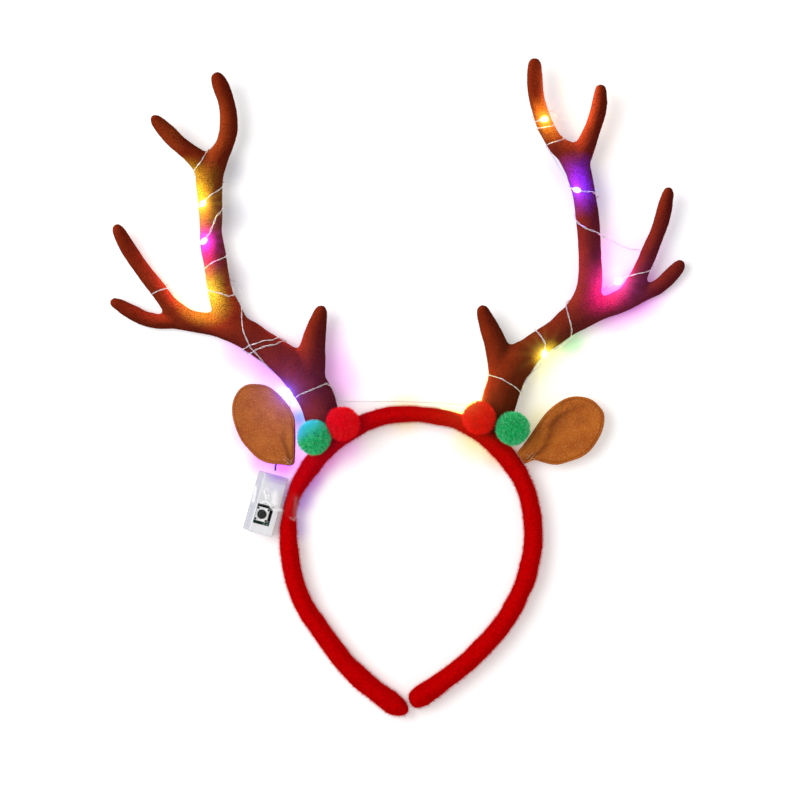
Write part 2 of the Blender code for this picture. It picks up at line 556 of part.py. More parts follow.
def make_tape():
    """A clear tape loop drawn tight round the battery case and the band, lower at the band's side."""
    along, _, _ = case_axes()
    flat = Vector((math.cos(CASE_LEAN), -math.sin(CASE_LEAN), 0))
    middle = Vector(CASE_MIDDLE)
    held = []
    for v in (-CASE_WIDTH / 2, CASE_WIDTH / 2):
        for n in (-CASE_DEPTH / 2, CASE_DEPTH / 2):
            corner = in_case(0, v, n)
            held.append(((corner - middle).dot(flat), corner.z))
    for x, y, width, depth in smooth_rows(BAND_PATH, 2):
        spot = Vector((x, y, 0)) - middle
        if -15 < spot.dot(along) < 12 and x < 0:
            for k in range(16):
                a = 2 * math.pi * k / 16
                held.append((spot.dot(flat) + width * math.cos(a), BAND_CENTRE_Z + depth * math.sin(a)))

    held = np.array(held)

    def loop(margin):
        turns = [2 * math.pi * k / 36 for k in range(36)]
        ways = np.array([(math.cos(a), math.sin(a)) for a in turns])
        return [held[int((held @ way).argmax())] + way * margin for way in ways]

    inner, outer = loop(GAP), loop(GAP + 0.35)
    points = []
    for ring in (inner, outer):
        for end in (-1, 1):
            for p, z in ring:
                u = 3.2 - 0.03 * p + end * (5.0 + 0.12 * p)
                spot = middle + flat * float(p) + along * float(u)
                points.append((spot.x, spot.y, max(float(z), 0.02)))
    count = len(inner)
    faces = []
    for k in range(count):
        n = (k + 1) % count
        faces.append((k, n, count + n, count + k))
        faces.append((2 * count + k, 2 * count + n, 3 * count + n, 3 * count + k))
        faces.append((k, n, 2 * count + n, 2 * count + k))
        faces.append((count + k, count + n, 3 * count + n, 3 * count + k))
    return new_object("tape_wrap", points, faces, "clear_tape")


def surface_tree(obj):
    shape = bmesh.new()
    shape.from_mesh(obj.data)
    tree = BVHTree.FromBMesh(shape)
    shape.free()
    return tree


def clear_of(point, room, trees):
    """The point, moved out of every solid until this much room is left."""
    for tree in trees:
        spot, normal, _, far = tree.find_nearest(point, 12 * MM)
        if spot is None:
            continue
        if (point - spot).dot(normal) < 0 or far < room:
            point = spot + normal * room
    point.z = max(point.z, (WIRE_RADIUS + 0.1) * MM)
    return point


def middle_height(x, y):
    """The height of the nearest branch's middle line."""
    rows = [row for part in (LEFT_BRANCHES, RIGHT_BRANCHES) for table in part.values() for row in table]
    return min(rows, key=lambda row: math.hypot(row[0] - x, row[1] - y))[2]


def wire_path(trees):
    """The light wire's middle line, drawn tight over the antlers, and the places of its drops along it."""
    room = (WIRE_RADIUS + GAP + 0.25) * MM
    marks, held, drops = [], [], []
    for x, y, place, drop in ROUTE_UP_LEFT + ROUTE_DOWN_LEFT + ROUTE_ACROSS + ROUTE_UP_RIGHT:
        spot = Vector((x, y, 0)) * MM
        if place in ("front", "back"):
            side = 1 if place == "front" else -1
            start = Vector((spot.x, spot.y, 60 * MM * side))
            hits = [tree.ray_cast(start, Vector((0, 0, -side)))[0] for tree in trees[:2]]
            found = [hit for hit in hits if hit is not None]
            spot.z = found[0].z + side * room if found else middle_height(x, y) * MM
        else:
            spot.z = (middle_height(x, y) if place == "edge" else place) * MM
        marks.append(spot)
        held.append(place != "back")
        drops.append(drop)
    path, pins, drop_at = [], {}, []
    for k, spot in enumerate(marks):
        if k:
            gap = (spot - marks[k - 1]).length
            for step in range(1, max(1, round(gap / (1.5 * MM)))):
                path.append(marks[k - 1].lerp(spot, step * 1.5 * MM / gap))
        if held[k]:
            pins[len(path)] = spot.copy()
        if drops[k]:
            drop_at.append(len(path))
        path.append(spot.copy())
    rooms = [room] * len(path)
    for at in drop_at:
        for k in range(max(0, at - 2), min(len(path), at + 3)):
            rooms[k] = (DROP_RADIUS + GAP) * MM
    for turn in range(90):
        for k in range(1, len(path) - 1):
            path[k] = path[k] * 0.4 + (path[k - 1] + path[k + 1]) * 0.3
            if k in pins:
                path[k].x, path[k].y = pins[k].x, pins[k].y
            path[k] = clear_of(path[k], rooms[k], trees)
        if turn > 40:
            spread_strands(path, trees, rooms)
    return path, drop_at


def spread_strands(path, trees, rooms):
    """Lifts the later strand off the earlier one wherever the wire crosses itself."""
    spots = np.array([tuple(p) for p in path])
    least = (2 * WIRE_RADIUS + 0.3) * MM
    for k in range(12, len(path)):
        far = np.linalg.norm(spots[: k - 8] - spots[k], axis=1)
        near = int(far.argmin())
        wanted = least + (rooms[k] + rooms[near]) - 2 * (WIRE_RADIUS + GAP) * MM
        if far[near] >= wanted:
            continue
        found = [tree.find_nearest(path[k], 12 * MM) for tree in trees[:2]]
        found = [hit for hit in found if hit[0] is not None]
        away = found[0][1] if found else Vector((0, 0, 1))
        path[k] = path[k] + away * (wanted - far[near]) * 0.7
        spots[k] = tuple(path[k])


def simplified(path, keep, tolerance):
    """The path's points that matter, by the farthest point left out of each stretch."""
    kept = {0, len(path) - 1} | set(keep)
    stack = [(a, b) for a, b in zip(sorted(kept), sorted(kept)[1:])]
    while stack:
        a, b = stack.pop()
        if b - a < 2:
            continue
        line = path[b] - path[a]
        offs = [((path[k] - path[a]) - line * ((path[k] - path[a]).dot(line) / line.length_squared)).length
                for k in range(a + 1, b)]
        worst = int(np.argmax(offs))
        if offs[worst] > tolerance:
            middle = a + 1 + worst
            kept.add(middle)
            stack += [(a, middle), (middle, b)]
    return sorted(kept)


def make_wire(trees):
    path, drop_at = wire_path(trees)
    steps = np.concatenate([[0], np.cumsum([(b - a).length for a, b in zip(path, path[1:])])])
    near_drop = [k for at in drop_at for k in (at - 2, at, at + 2) if 0 <= k < len(path)]
    kept = simplified(path, near_drop, 0.27 * MM)
    spots = np.array([tuple(p) for p in path])
    swell = []
    for at in drop_at:
        for share in (-1.0, -0.85, -0.5, 0.0, 0.5, 0.85, 1.0):
            swell.append((steps[at] + share * DROP_HALF_LENGTH * MM, share))
    plain = [(steps[k], None) for k in kept
             if all(abs(steps[k] - steps[at]) > (DROP_HALF_LENGTH + 0.5) * MM for at in drop_at)]
    places = sorted([s for s in plain + swell if 0 <= s[0] <= steps[-1]], key=lambda s: s[0])
    middle, radius = [], []
    for place, share in places:
        middle.append([np.interp(place, steps, spots[:, i]) for i in range(3)])
        bulge = math.sqrt(max(0.0, 1 - share * share)) if share is not None else 0.0
        radius.append((WIRE_RADIUS + (DROP_RADIUS - WIRE_RADIUS) * bulge) * MM)
    middle = np.array(middle)
    along = np.gradient(middle, axis=0)
    along /= np.linalg.norm(along, axis=1)[:, None]
    side = Vector(along[0]).orthogonal().normalized()
    sides = 4
    points, faces = [], []
    for k, (spot, ahead) in enumerate(zip(middle, along)):
        ahead = Vector(ahead)
        side = (side - ahead * side.dot(ahead)).normalized()
        other = ahead.cross(side)
        for s in range(sides):
            a = 2 * math.pi * s / sides
            points.append((Vector(spot) + (side * math.cos(a) + other * math.sin(a)) * radius[k]) / MM)
        if k:
            for s in range(sides):
                n = (s + 1) % sides
                faces.append(((k - 1) * sides + s, (k - 1) * sides + n, k * sides + n, k * sides + s))
    last = len(points) - sides
    faces.append(tuple(range(sides)))
    faces.append(tuple(range(last, last + sides)))
    return new_object("light_wire", points, faces, "silver_wire")


def centre_on_origin():
    """Moves everything so that the origin is the middle of the underside."""
    spots = np.array([tuple(v.co) for obj in MODEL.objects for v in obj.data.vertices])
    low, high = spots.min(axis=0), spots.max(axis=0)
    shift = Vector((-(low[0] + high[0]) / 2, -(low[1] + high[1]) / 2, -low[2]))
    for obj in MODEL.objects:
        for vert in obj.data.vertices:
            vert.co += shift
    print("moved by, in mm:", [round(c / MM, 3) for c in shift])


clear_scene()
MODEL = new_collection("reindeer_antler_headband", False)
CUTTERS = new_collection("cutters", True)

band = make_band()
band_space = grown(band, GAP)
antlers = [
    make_antler("antler_left", LEFT_BRANCHES, 2000),
    make_antler("antler_right", RIGHT_BRANCHES, 2000),
]
for antler in antlers:
    carve(antler, band_space)
ears = [make_ear(name, ear) for name, ear in EARS.items()]
for ear in ears:
    carve(ear, band_space)
shell = make_battery_case()
tape = make_tape()
antler_spaces = [grown(antler, GAP) for antler in antlers]
pompoms = [make_pompom(name, *rows) for name, rows in POMPOMS.items()]
for pompom in pompoms:
    carve(pompom, band_space, *antler_spaces)
make_wire([surface_tree(obj) for obj in [*antlers, band, shell, *ears, *pompoms]])
centre_on_origin()
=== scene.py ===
"""Finished look of a reindeer antler headband with a battery light string, lying on white paper.

Everything is in metres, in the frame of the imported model. MM turns a millimetre into metres.
"""

import json
import math

import bmesh
import bpy
import numpy as np
from mathutils import Matrix, Vector, noise
from mathutils.bvhtree import BVHTree

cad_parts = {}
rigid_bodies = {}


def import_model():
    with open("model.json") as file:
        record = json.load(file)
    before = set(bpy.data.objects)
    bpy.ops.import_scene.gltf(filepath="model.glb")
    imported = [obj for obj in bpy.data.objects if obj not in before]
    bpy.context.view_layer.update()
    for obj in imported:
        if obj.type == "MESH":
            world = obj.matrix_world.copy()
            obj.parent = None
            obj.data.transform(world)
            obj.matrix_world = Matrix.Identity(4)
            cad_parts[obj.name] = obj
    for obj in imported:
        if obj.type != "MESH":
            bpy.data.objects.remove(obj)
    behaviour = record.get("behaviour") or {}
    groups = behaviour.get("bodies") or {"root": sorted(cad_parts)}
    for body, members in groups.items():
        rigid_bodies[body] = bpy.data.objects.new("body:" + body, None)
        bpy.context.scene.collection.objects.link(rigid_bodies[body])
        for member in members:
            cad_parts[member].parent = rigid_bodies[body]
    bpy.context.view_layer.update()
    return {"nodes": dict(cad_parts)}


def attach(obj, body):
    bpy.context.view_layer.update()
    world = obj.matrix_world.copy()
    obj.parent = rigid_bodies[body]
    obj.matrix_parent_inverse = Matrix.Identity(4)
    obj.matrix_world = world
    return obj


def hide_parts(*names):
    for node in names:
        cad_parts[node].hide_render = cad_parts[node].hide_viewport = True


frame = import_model()
NODES = frame["nodes"]
MM = 0.001
BODY = "headband"

# Gap kept over the floor, how near vertices are joined, and where rays through the object start.
FLOOR_GAP = 0.05 * MM
WELD = 0.002 * MM
RAY_START = 60 * MM

# The photograph's scale and side, the point of the object in its middle, and its camera.
PIXEL = 0.47 * MM
PHOTO_SIDE = 800
VIEW_MIDDLE = (1.25 * MM, -5.9 * MM)
VIEW_HEIGHT = 1.6
SHARP_HEIGHT = 0.008
FILM_WIDTH = 36.0

# White paper's half side, the room's light, and the window's place, size and power.
PAPER_HALF = 3.0
ROOM_LIGHT = 0.58
WINDOW_PLACE = (-0.6, 0.2, 1.1)
WINDOW_SIZE = 0.85
WINDOW_POWER = 10.0

# The route tables are drawn from the strip's own origin, which lies this far from the model's.
DRAWN_FROM = (0.307, -0.485)

# Light wire route: x, y, a height or the side of the antler it lies on, and 1 where it carries a light drop.
ROUTE = [
    (-57.6, -38.5, 9, 0), (-57.6, -36.5, 4.5, 0), (-55.2, -30.9, 2.2, 0),
    (-52.6, -26.5, 2.2, 1), (-51.2, -17.2, 2.2, 0), (-50.8, -9.2, 4, 0),
    (-51.0, -2.1, "edge", 1), (-53.8, 3.5, "edge", 0), (-56.6, 7.3, "edge", 0),
    (-61.1, 10.6, "front", 0), (-65.1, 14.8, "front", 0), (-69.2, 19.2, "front", 0),
    (-72.4, 26.6, "front", 0), (-73.3, 33.1, "front", 0), (-73.4, 38.8, "front", 0),
    (-73.8, 43.5, 9, 0), (-74.9, 46.8, 9, 0), (-76.8, 50.5, "edge", 0),
    (-82.7, 52.9, "back", 0), (-88.4, 54.5, "back", 0), (-91.4, 55.2, "edge", 0),
    (-86.0, 59.5, "front", 0), (-80.6, 62.5, "edge", 0), (-85.5, 65.6, "back", 0),
    (-93.4, 67.2, "edge", 0), (-90.9, 69.0, "front", 1), (-87.9, 73.1, "front", 0),
    (-85.1, 80.6, "front", 0), (-82.0, 87.0, "edge", 0), (-87.4, 85.8, "back", 0),
    (-94.5, 84.0, "edge", 0), (-91.6, 86.2, "front", 1), (-87.4, 90.7, "front", 0),
    (-81.4, 96.6, "edge", 0), (-88.4, 97.5, "back", 0), (-95.9, 100.6, "edge", 0),
    (-92.1, 106.0, "front", 0), (-89.1, 111.2, "front", 0),
    (-89.0, 112.4, "edge", 0), (-85.9, 109.7, "back", 0), (-86.5, 100.3, "back", 0),
    (-86.5, 89.5, "back", 0), (-86.0, 76.8, "back", 0), (-84.1, 62.7, "back", 0),
    (-81.3, 51.9, "back", 0), (-76.8, 43.9, "edge", 0), (-79.4, 43.2, "front", 0),
    (-84.8, 45.0, "front", 0), (-88.4, 45.9, "front", 0), (-92.1, 47.0, "edge", 1),
    (-98.7, 46.5, 7, 0), (-105.8, 46.9, 7, 0), (-109.0, 46.9, "front", 0),
    (-112.8, 45.8, "front", 0), (-116.3, 44.4, "edge", 0), (-113.3, 47.7, "back", 0),
    (-107.9, 49.3, "edge", 0), (-102.5, 51.0, 7, 0), (-97.3, 52.4, 8, 0),
    (-91.2, 53.0, "edge", 0), (-85.5, 49.1, "back", 0), (-78.0, 33.1, "back", 0),
    (-72.8, 20.4, "back", 0), (-70.4, 16.2, "edge", 0), (-66.7, 18.1, "front", 0),
    (-62.0, 19.8, "front", 0), (-57.3, 20.5, "front", 0), (-52.4, 21.6, "edge", 0),
    (-59.2, 17.6, "back", 0), (-67.7, 17.4, "back", 0), (-73.8, 18.1, "edge", 0),
    (-69.6, 20.2, "front", 0), (-63.2, 22.3, "front", 0), (-58.8, 22.6, "front", 0),
    (-55.2, 23.5, "edge", 0), (-52.2, 18.1, "back", 0), (-49.3, 8.7, "back", 0),
    (-49.3, 0.2, "back", 0), (-49.5, -5.5, "edge", 0), (-45.5, -2.6, "front", 0),
    (-40.4, -0.7, "front", 0), (-33.4, 2.3, "front", 0), (-31.3, 0.7, "edge", 0),
    (-34.8, -1.6, "back", 0), (-32.9, -4.5, "back", 0), (-29.1, -5.4, "edge", 0),
    (-22.6, -5.9, 10, 0), (-14.1, -6.1, 9.5, 0), (0.9, -5.9, 9, 0),
    (15.0, -6.6, 9, 0), (26.8, -7.3, 9, 0), (35.2, -7.8, 9, 1),
    (39.0, -5.3, "edge", 0),
    (44.2, -2.1, "back", 0), (46.5, 2.6, "back", 0), (42.5, 6.3, "edge", 0),
    (45.1, 5.6, "front", 0), (48.4, 4.5, "front", 0), (53.9, 1.2, "front", 0),
    (58.0, -2.6, "edge", 0), (53.6, -0.2, "back", 0), (55.5, 4.9, "back", 0),
    (59.2, 5.4, "back", 0), (63.4, 8.1, 7, 0), (67.1, 10.6, 8, 0),
    (68.4, 16.2, "edge", 1), (68.9, 21.0, "front", 0), (67.2, 24.2, "front", 0),
    (64.2, 27.5, "edge", 0), (67.7, 22.3, "back", 0), (71.9, 19.5, "back", 0),
    (74.7, 18.6, "edge", 0), (81.1, 23.0, "edge", 0), (81.3, 28.2, "front", 0),
    (79.7, 35.0, "front", 0), (79.0, 40.2, "edge", 0), (83.7, 40.2, "back", 0),
    (90.2, 43.0, "back", 0), (96.3, 46.3, "edge", 0), (100.1, 48.6, 7.5, 0),
    (103.4, 50.1, 7, 1), (107.2, 52.4, "edge", 0), (113.1, 54.0, "front", 0),
    (120.1, 57.1, "edge", 0), (116.1, 60.9, "back", 0), (113.3, 65.3, "edge", 0),
    (110.0, 65.4, 8.5, 0), (106.5, 66.3, 9, 0), (101.7, 68.7, 9.5, 0),
    (96.6, 71.0, "edge", 0), (93.1, 73.1, "front", 0), (88.5, 74.7, "front", 0),
    (84.9, 77.1, "front", 0), (83.0, 81.5, "edge", 0), (89.3, 84.8, "back", 0),
    (94.2, 90.5, "edge", 0), (90.7, 92.1, "front", 0), (87.3, 92.1, "front", 0),
    (83.7, 92.8, "front", 1), (80.1, 94.2, "edge", 0), (81.8, 98.9, "back", 0),
    (79.0, 105.0, "back", 0), (72.4, 109.3, "back", 0), (69.1, 113.5, "edge", 0),
    (71.0, 114.6, "front", 0), (76.4, 116.2, "front", 0), (79.0, 117.3, "edge", 0),
    (72.4, 119.1, "back", 0), (64.4, 122.0, "edge", 0), (68.9, 122.0, "front", 0),
    (74.5, 123.4, "edge", 0), (74.7, 126.7, 16, 0), (72.1, 130.0, "edge", 0),
    (67.2, 130.0, "back", 0), (62.4, 127.0, "edge", 0), (64.0, 124.8, "front", 0),
    (68.4, 125.7, "front", 1),
]
STRAND_RADIUS = 0.125
STRAND_APART = 0.27
TWIST_PITCH = 8.0
STRAND_SIDES = 5
DROP_RADIUS = 1.15
DROP_HALF_LENGTH = 1.9
LAMP_OUT = 2.2
LEAD_SLEEVE_LENGTH = 5.0
LEAD_SLEEVE_RADIUS = 0.42

# Steps of the wire's route and of its smooth line in millimetres, and pieces of that line between two points.
ROUTE_STEP = 1.5
LINE_STEP = 0.55
SMOOTH_STEPS = 6

# Room that the wire keeps from cloth, round a drop and from its earlier pass, how far it looks for cloth,
# how low it may lie, and about how high the branches' middles lie.
WIRE_ROOM = 0.5
DROP_ROOM = 0.2
PASS_ROOM = 1.0
CLOTH_SEARCH = 12
WIRE_LOWEST = 0.4
BRANCH_HEIGHT = 9

# Rounds of pulling the wire tight, the round from which its passes are parted, and how many points just behind
# one belong to its own pass.
PULL_ROUNDS = 90
PART_FROM = 41
OWN_RUN = 8

# Light drops in the order of the route: name, colour, and the power in watts of the lamp beside it.
LIGHTS = [
    ("violet_low", "#9A3CFF", 0.008), ("blue_white", "#7058FF", 0.013), ("magenta_left", "#FF3CF0", 0.008),
    ("yellow_left", "#FFE040", 0.007), ("yellow_crotch", "#FFD840", 0.010), ("green_low", "#C0FF30", 0.008),
    ("yellow_right", "#FFF050", 0.003), ("magenta_right", "#FF58F0", 0.012),
    ("violet_right", "#6A30FF", 0.010), ("amber_right", "#FFB028", 0.010),
]

# Light that the drops throw on cloth is full within this share of its reach and fades by this power beyond.
# It also fades between these two values of how far the cloth faces its source.
GLOW_FULL = 0.25
GLOW_FADE = 1.5
GLOW_TURNED = (-0.45, 0.5)

# Coloured light painted on cloth as a glow, where the drops throw it and as a few broad warm painted
# highlights away from them: x, y, z of its source, reach in millimetres, colour.
CLOTH_GLOWS = [
    (-96.0, 89.0, 14, 21, "#FFF030"), (-97.5, 107.8, 14, 46, "#8A4418"), (-95.1, 64.6, 14, 18, "#FF1C90"),
    (-91.3, 67.9, 16, 9, "#E028F0"), (-90.4, 43.0, 14, 17, "#FFE838"), (-100.7, 48.6, 7, 36, "#E03C24"),
    (-50.5, -2.1, 9, 10, "#5A18FF"), (-50.5, 1.2, 9, 26, "#581024"), (-52.3, 24.7, 7, 20, "#B02C0E"),
    (-74.9, 41.1, 14, 22, "#701C08"), (37.9, -2.1, 8, 17, "#E03404"), (70.3, 14.8, 12, 9, "#FFF030"),
    (97.1, 45.3, 13, 17, "#FF1470"), (84.0, 94.7, 19, 17, "#7C16FF"), (79.3, 134.6, 12, 32, "#FF6030"),
    (69.4, 124.8, 19, 13, "#FFA020"), (76.4, 59.0, 8, 28, "#701018"),
]

# Coloured light that the drops leave on the white paper, painted on as tints, and in the last row three grey
# painted shadows beside the left antler: x, y, reach in millimetres, colour.
PAPER_GLOWS_AND_SHADOWS = [
    (110.3, 48.2, 37.6, "#FFE6FF"), (100.9, 41.1, 22.6, "#FFB0FF"), (114.0, 44.9, 17.9, "#FFBCFF"),
    (82.1, 20.9, 12.2, "#D0FFDA"), (70.8, 12.0, 15.0, "#FBFFF2"), (67.0, -3.5, 21.6, "#FEFFF8"),
    (-71.6, 17.6, 20.7, "#FFCCFF"), (-57.5, 9.2, 18.8, "#ECB8FF"), (-50.5, 1.2, 12.2, "#E0D0FF"),
    (-45.3, -14.3, 7.0, "#A8DCFF"), (-34.0, 20.0, 21.6, "#FFE0FF"), (-29.3, 3.5, 22.6, "#FFCCFF"),
    (-66.9, -20.0, 20.7, "#FFCCFF"), (-63.6, -35.0, 12.2, "#EEC0FF"), (-53.7, -36.9, 9.9, "#E8A8FF"),
    (-46.7, -52.9, 12.7, "#D4B0FF"), (-41.5, -43.5, 11.8, "#E4A8FF"), (-35.4, -35.0, 12.7, "#FFBCFF"),
    (-26.0, -27.0, 16.9, "#FFCCFF"), (-48.6, -66.0, 11.3, "#DCD0FF"), (3.6, -12.5, 15.9, "#FFF6D0"),
    (38.8, -22.3, 21.6, "#FFF4B8"), (49.2, -31.7, 13.2, "#FFDCC0"), (68.4, -17.6, 15.9, "#FDFDD8"),
    (81.1, 104.6, 19.7, "#F0EAFF"), (90.5, 90.5, 17.9, "#F0E8FF"),
    # Painted shadows: three grey patches beside the left antler's trunk.
    (-75.8, 51.4, 15.0, "#E2E0E4"), (-76.8, 81.1, 16.0, "#DEDEE2"), (-77.7, 102.2, 12.2, "#E4E4E8"),
]

# The low violet drop shines through the battery case's top, and the blue one on the pompom beside it.
CASE_GLOWS = [
    (-53.5, -40.0, 8.5, "#DCA0FF"), (-58.5, -39.5, 7.5, "#E0C4FF"), (-56.0, -47.0, 9.0, "#F4F0FF"),
]
POMPOM_GLOWS = [(-42.0, -14.6, 12.5, "#58F0FF"), (-46.5, -21.0, 6.5, "#60E0FF")]

# Height of the middle of the band's strip.
BAND_CENTRE_Z = 7.4

# The velvet is painted lighter and more orange where it faces here, the side the light falls on, and darker
# where it is turned away: painted light and shade.
LIT_SIDE_WAY = (-0.8, 0.35, 0.45)

# Battery case: its own frame runs along (u), across (v) and out of the front face (n), in millimetres.
CASE_MIDDLE = (-61.993, -54.585, 7.75)
CASE_LEAN = math.radians(15.7)
CASE_ROLL = math.radians(19.7)
CASE_HALF = 28.5 / 2
CELL_RADIUS = 3.9
CELL_LENGTH = 3.4
CELL_STARTS = (1.6, 5.35, 9.1)

# Profiles of turned parts are rows of radius and height. A cell is a cup crimped round its cap.
ROUND_STEPS = 40
RIVET_STEPS = 14
CELL_PROFILE = [
    (0.05, 0.0), (CELL_RADIUS - 0.5, 0.0), (CELL_RADIUS - 0.15, 0.1), (CELL_RADIUS, 0.4),
    (CELL_RADIUS, CELL_LENGTH - 0.75), (CELL_RADIUS - 0.12, CELL_LENGTH - 0.5),
    (CELL_RADIUS - 0.5, CELL_LENGTH - 0.42), (CELL_RADIUS - 0.62, CELL_LENGTH - 0.5),
    (CELL_RADIUS - 0.72, CELL_LENGTH - 0.1), (CELL_RADIUS - 0.95, CELL_LENGTH), (0.05, CELL_LENGTH),
]
BOARD_TOP = -0.3

# Blocks in the case's frame: from and to along u, v and n, and how far the edges are rounded.
RIBS = [
    ((0.2 - CASE_HALF, CASE_HALF - 0.2), (-6.25, -5.75), (3.6, 4.5), 0.12),
    ((CASE_HALF - 1.6, CASE_HALF - 1.1), (-5.6, 5.6), (5.05, 5.4), 0.1),
    ((CASE_HALF - 3.2, CASE_HALF - 2.7), (-5.6, 5.6), (5.05, 5.4), 0.1),
]
BOARD_BLOCK = ((-10.8, 0.6), (-4.7, 4.7), (BOARD_TOP - 1.2, BOARD_TOP), 0.1)
CHIPS = [
    ((-7.6, -4.2), (1.7, 4.3), (BOARD_TOP + 0.05, BOARD_TOP + 1.9), 0.1),
    ((-3.9, -2.5), (1.8, 4.3), (BOARD_TOP + 0.05, BOARD_TOP + 1.4), 0.1),
    ((-10.2, -9.2), (-1.4, 0.4), (BOARD_TOP + 0.12, BOARD_TOP + 0.9), 0.08),
    ((-1.9, 0.4), (-4.6, 4.4), (BOARD_TOP + 0.05, BOARD_TOP + 1.6), 0.12),
]
PADS = [
    ((u - 0.45, u + 0.45), (v - 0.35, v + 0.35), (BOARD_TOP, BOARD_TOP + 0.12), 0.05)
    for u in (-9.6, -8.2, -2.0, -0.6) for v in (2.2, 3.6)
]

# Push switch: its middle (u, v), its black block, and the bright plate that reaches a little past it.
SWITCH_MIDDLE = (-5.1, -1.7)
SWITCH_HALF = 3.0
SWITCH_TOP = 4.5
BLOCK_BELOW_TOP = 0.9
BLOCK_ABOVE_BOARD = 0.3
PLATE_PAST_BLOCK = 0.3
PLATE_THICK = 0.55
PLATE_CORNER = 1.36
PLATE_STEPS = 48
RIVET_OFFSET = 2.6
RIVET_DOME = [(0.55, 0.0), (0.53, 0.14), (0.38, 0.26), (0.05, 0.3)]
BUTTON_RADIUS = 1.9
BUTTON_FOOT = 3.2
BUTTON_TALL = 5.4 - BUTTON_FOOT
BUTTON_PLAY = 0.3
BUTTON_PROFILE = [
    (0.05, 0.0), (BUTTON_RADIUS, 0.0), (BUTTON_RADIUS, BUTTON_TALL - 0.25),
    (BUTTON_RADIUS - 0.08, BUTTON_TALL - 0.08), (BUTTON_RADIUS - 0.28, BUTTON_TALL), (0.05, BUTTON_TALL),
]


# Colours and nodes

def linear(code):
    """An sRGB hex colour as the linear colour that a socket takes."""
    parts = [int(code[k:k + 2], 16) / 255 for k in (1, 3, 5)]
    return (*[p / 12.92 if p <= 0.04045 else ((p + 0.055) / 1.055) ** 2.4 for p in parts], 1.0)


def add_node(tree, kind, inputs=None, **settings):
    """A node with its settings and with each input linked to a socket or set to a value or a hex colour."""
    made = tree.nodes.new(kind)
    for name, value in settings.items():
        setattr(made, name, value)
    for name, value in (inputs or {}).items():
        if isinstance(value, bpy.types.NodeSocket):
            tree.links.new(value, made.inputs[name])
        else:
            is_colour = isinstance(value, str) and value.startswith("#")
            made.inputs[name].default_value = linear(value) if is_colour else value
    return made


def new_material(name, roughness, metallic=0.0, **numbers):
    """A material with its shader, and the object coordinates that its patterns read."""
    made = bpy.data.materials.new(name)
    made.use_nodes = True
    tree = made.node_tree
    shader = tree.nodes["Principled BSDF"]
    shader.inputs["Roughness"].default_value = roughness
    shader.inputs["Metallic"].default_value = metallic
    for socket, value in numbers.items():
        shader.inputs[socket.replace("_", " ")].default_value = value
    place = add_node(tree, "ShaderNodeTexCoord").outputs["Object"]
    return made, tree, shader, place


def per_mm(size):
    """Noise scale whose cells are about this many millimetres across."""
    return 1000.0 / size


def grain(tree, place, size, low, high, least=0.0, most=1.0):
    """Noise with cells of this size in millimetres, spread between two of its values."""
    cells = add_node(tree, "ShaderNodeTexNoise", {"Vector": place, "Scale": per_mm(size), "Detail": 2.0})
    return add_node(tree, "ShaderNodeMapRange", {
        "Value": cells.outputs["Fac"], "From Min": low, "From Max": high, "To Min": least, "To Max": most,
    }, clamp=True).outputs["Result"]


def mottled(tree, place, size, low, high, first, second):
    """Two colours in patches of this size in millimetres."""
    share = grain(tree, place, size, low, high)
    return add_node(tree, "ShaderNodeMix", {0: share, 6: first, 7: second}, data_type="RGBA").outputs[2]


def by_attribute(tree, attribute, low, high, first, second):
    """Two colours mixed by a stored attribute, between two of its values."""
    stored = add_node(tree, "ShaderNodeAttribute", attribute_name=attribute).outputs["Fac"]
    share = add_node(tree, "ShaderNodeMapRange", {
        "Value": stored, "From Min": low, "From Max": high}, clamp=True)
    return add_node(tree, "ShaderNodeMix", {0: share.outputs["Result"], 6: first, 7: second},
                    data_type="RGBA").outputs[2]


def roughened(tree, shader, place, size, depth_mm, strength):
    """Gives the surface a fine relief with cells of this size in millimetres."""
    height = grain(tree, place, size, 0.3, 0.7)
    bump = add_node(tree, "ShaderNodeBump", {
        "Height": height, "Distance": depth_mm * MM, "Strength": strength})
    tree.links.new(bump.outputs["Normal"], shader.inputs["Normal"])


def with_painted_glow_and_shade(tree, place, colour, painted_spots, blend):
    """A colour with painted glows and shadows tinted round the given places, each of them x, y, reach in
    millimetres and tint.
    """
    if not painted_spots:
        return colour
    flat = add_node(tree, "ShaderNodeVectorMath", {0: place, 1: (1.0, 1.0, 0.0)}, operation="MULTIPLY")
    for x, y, reach, tint in painted_spots:
        away = add_node(tree, "ShaderNodeVectorMath", {
            0: flat.outputs[0], 1: (x * MM, y * MM, 0)}, operation="DISTANCE")
        fall = add_node(tree, "ShaderNodeMapRange", {
            "Value": away.outputs["Value"], "From Min": reach * MM, "From Max": 0.0,
        }, interpolation_type="SMOOTHERSTEP")
        colour = add_node(tree, "ShaderNodeMix", {
            0: fall.outputs["Result"], 6: colour, 7: tint}, data_type="RGBA", blend_type=blend).outputs[2]
    return colour


def by_facing(tree, way, low, high, first, second):
    """Two colours mixed by how far the surface faces one fixed direction."""
    normal = add_node(tree, "ShaderNodeNewGeometry").outputs["Normal"]
    facing = add_node(tree, "ShaderNodeVectorMath", {0: normal, 1: way}, operation="DOT_PRODUCT")
    share = add_node(tree, "ShaderNodeMapRange", {
        "Value": facing.outputs["Value"], "From Min": low, "From Max": high}, clamp=True)
    return add_node(tree, "ShaderNodeMix", {0: share.outputs["Result"], 6: first, 7: second},
                    data_type="RGBA").outputs[2]


# Light string on soft surfaces

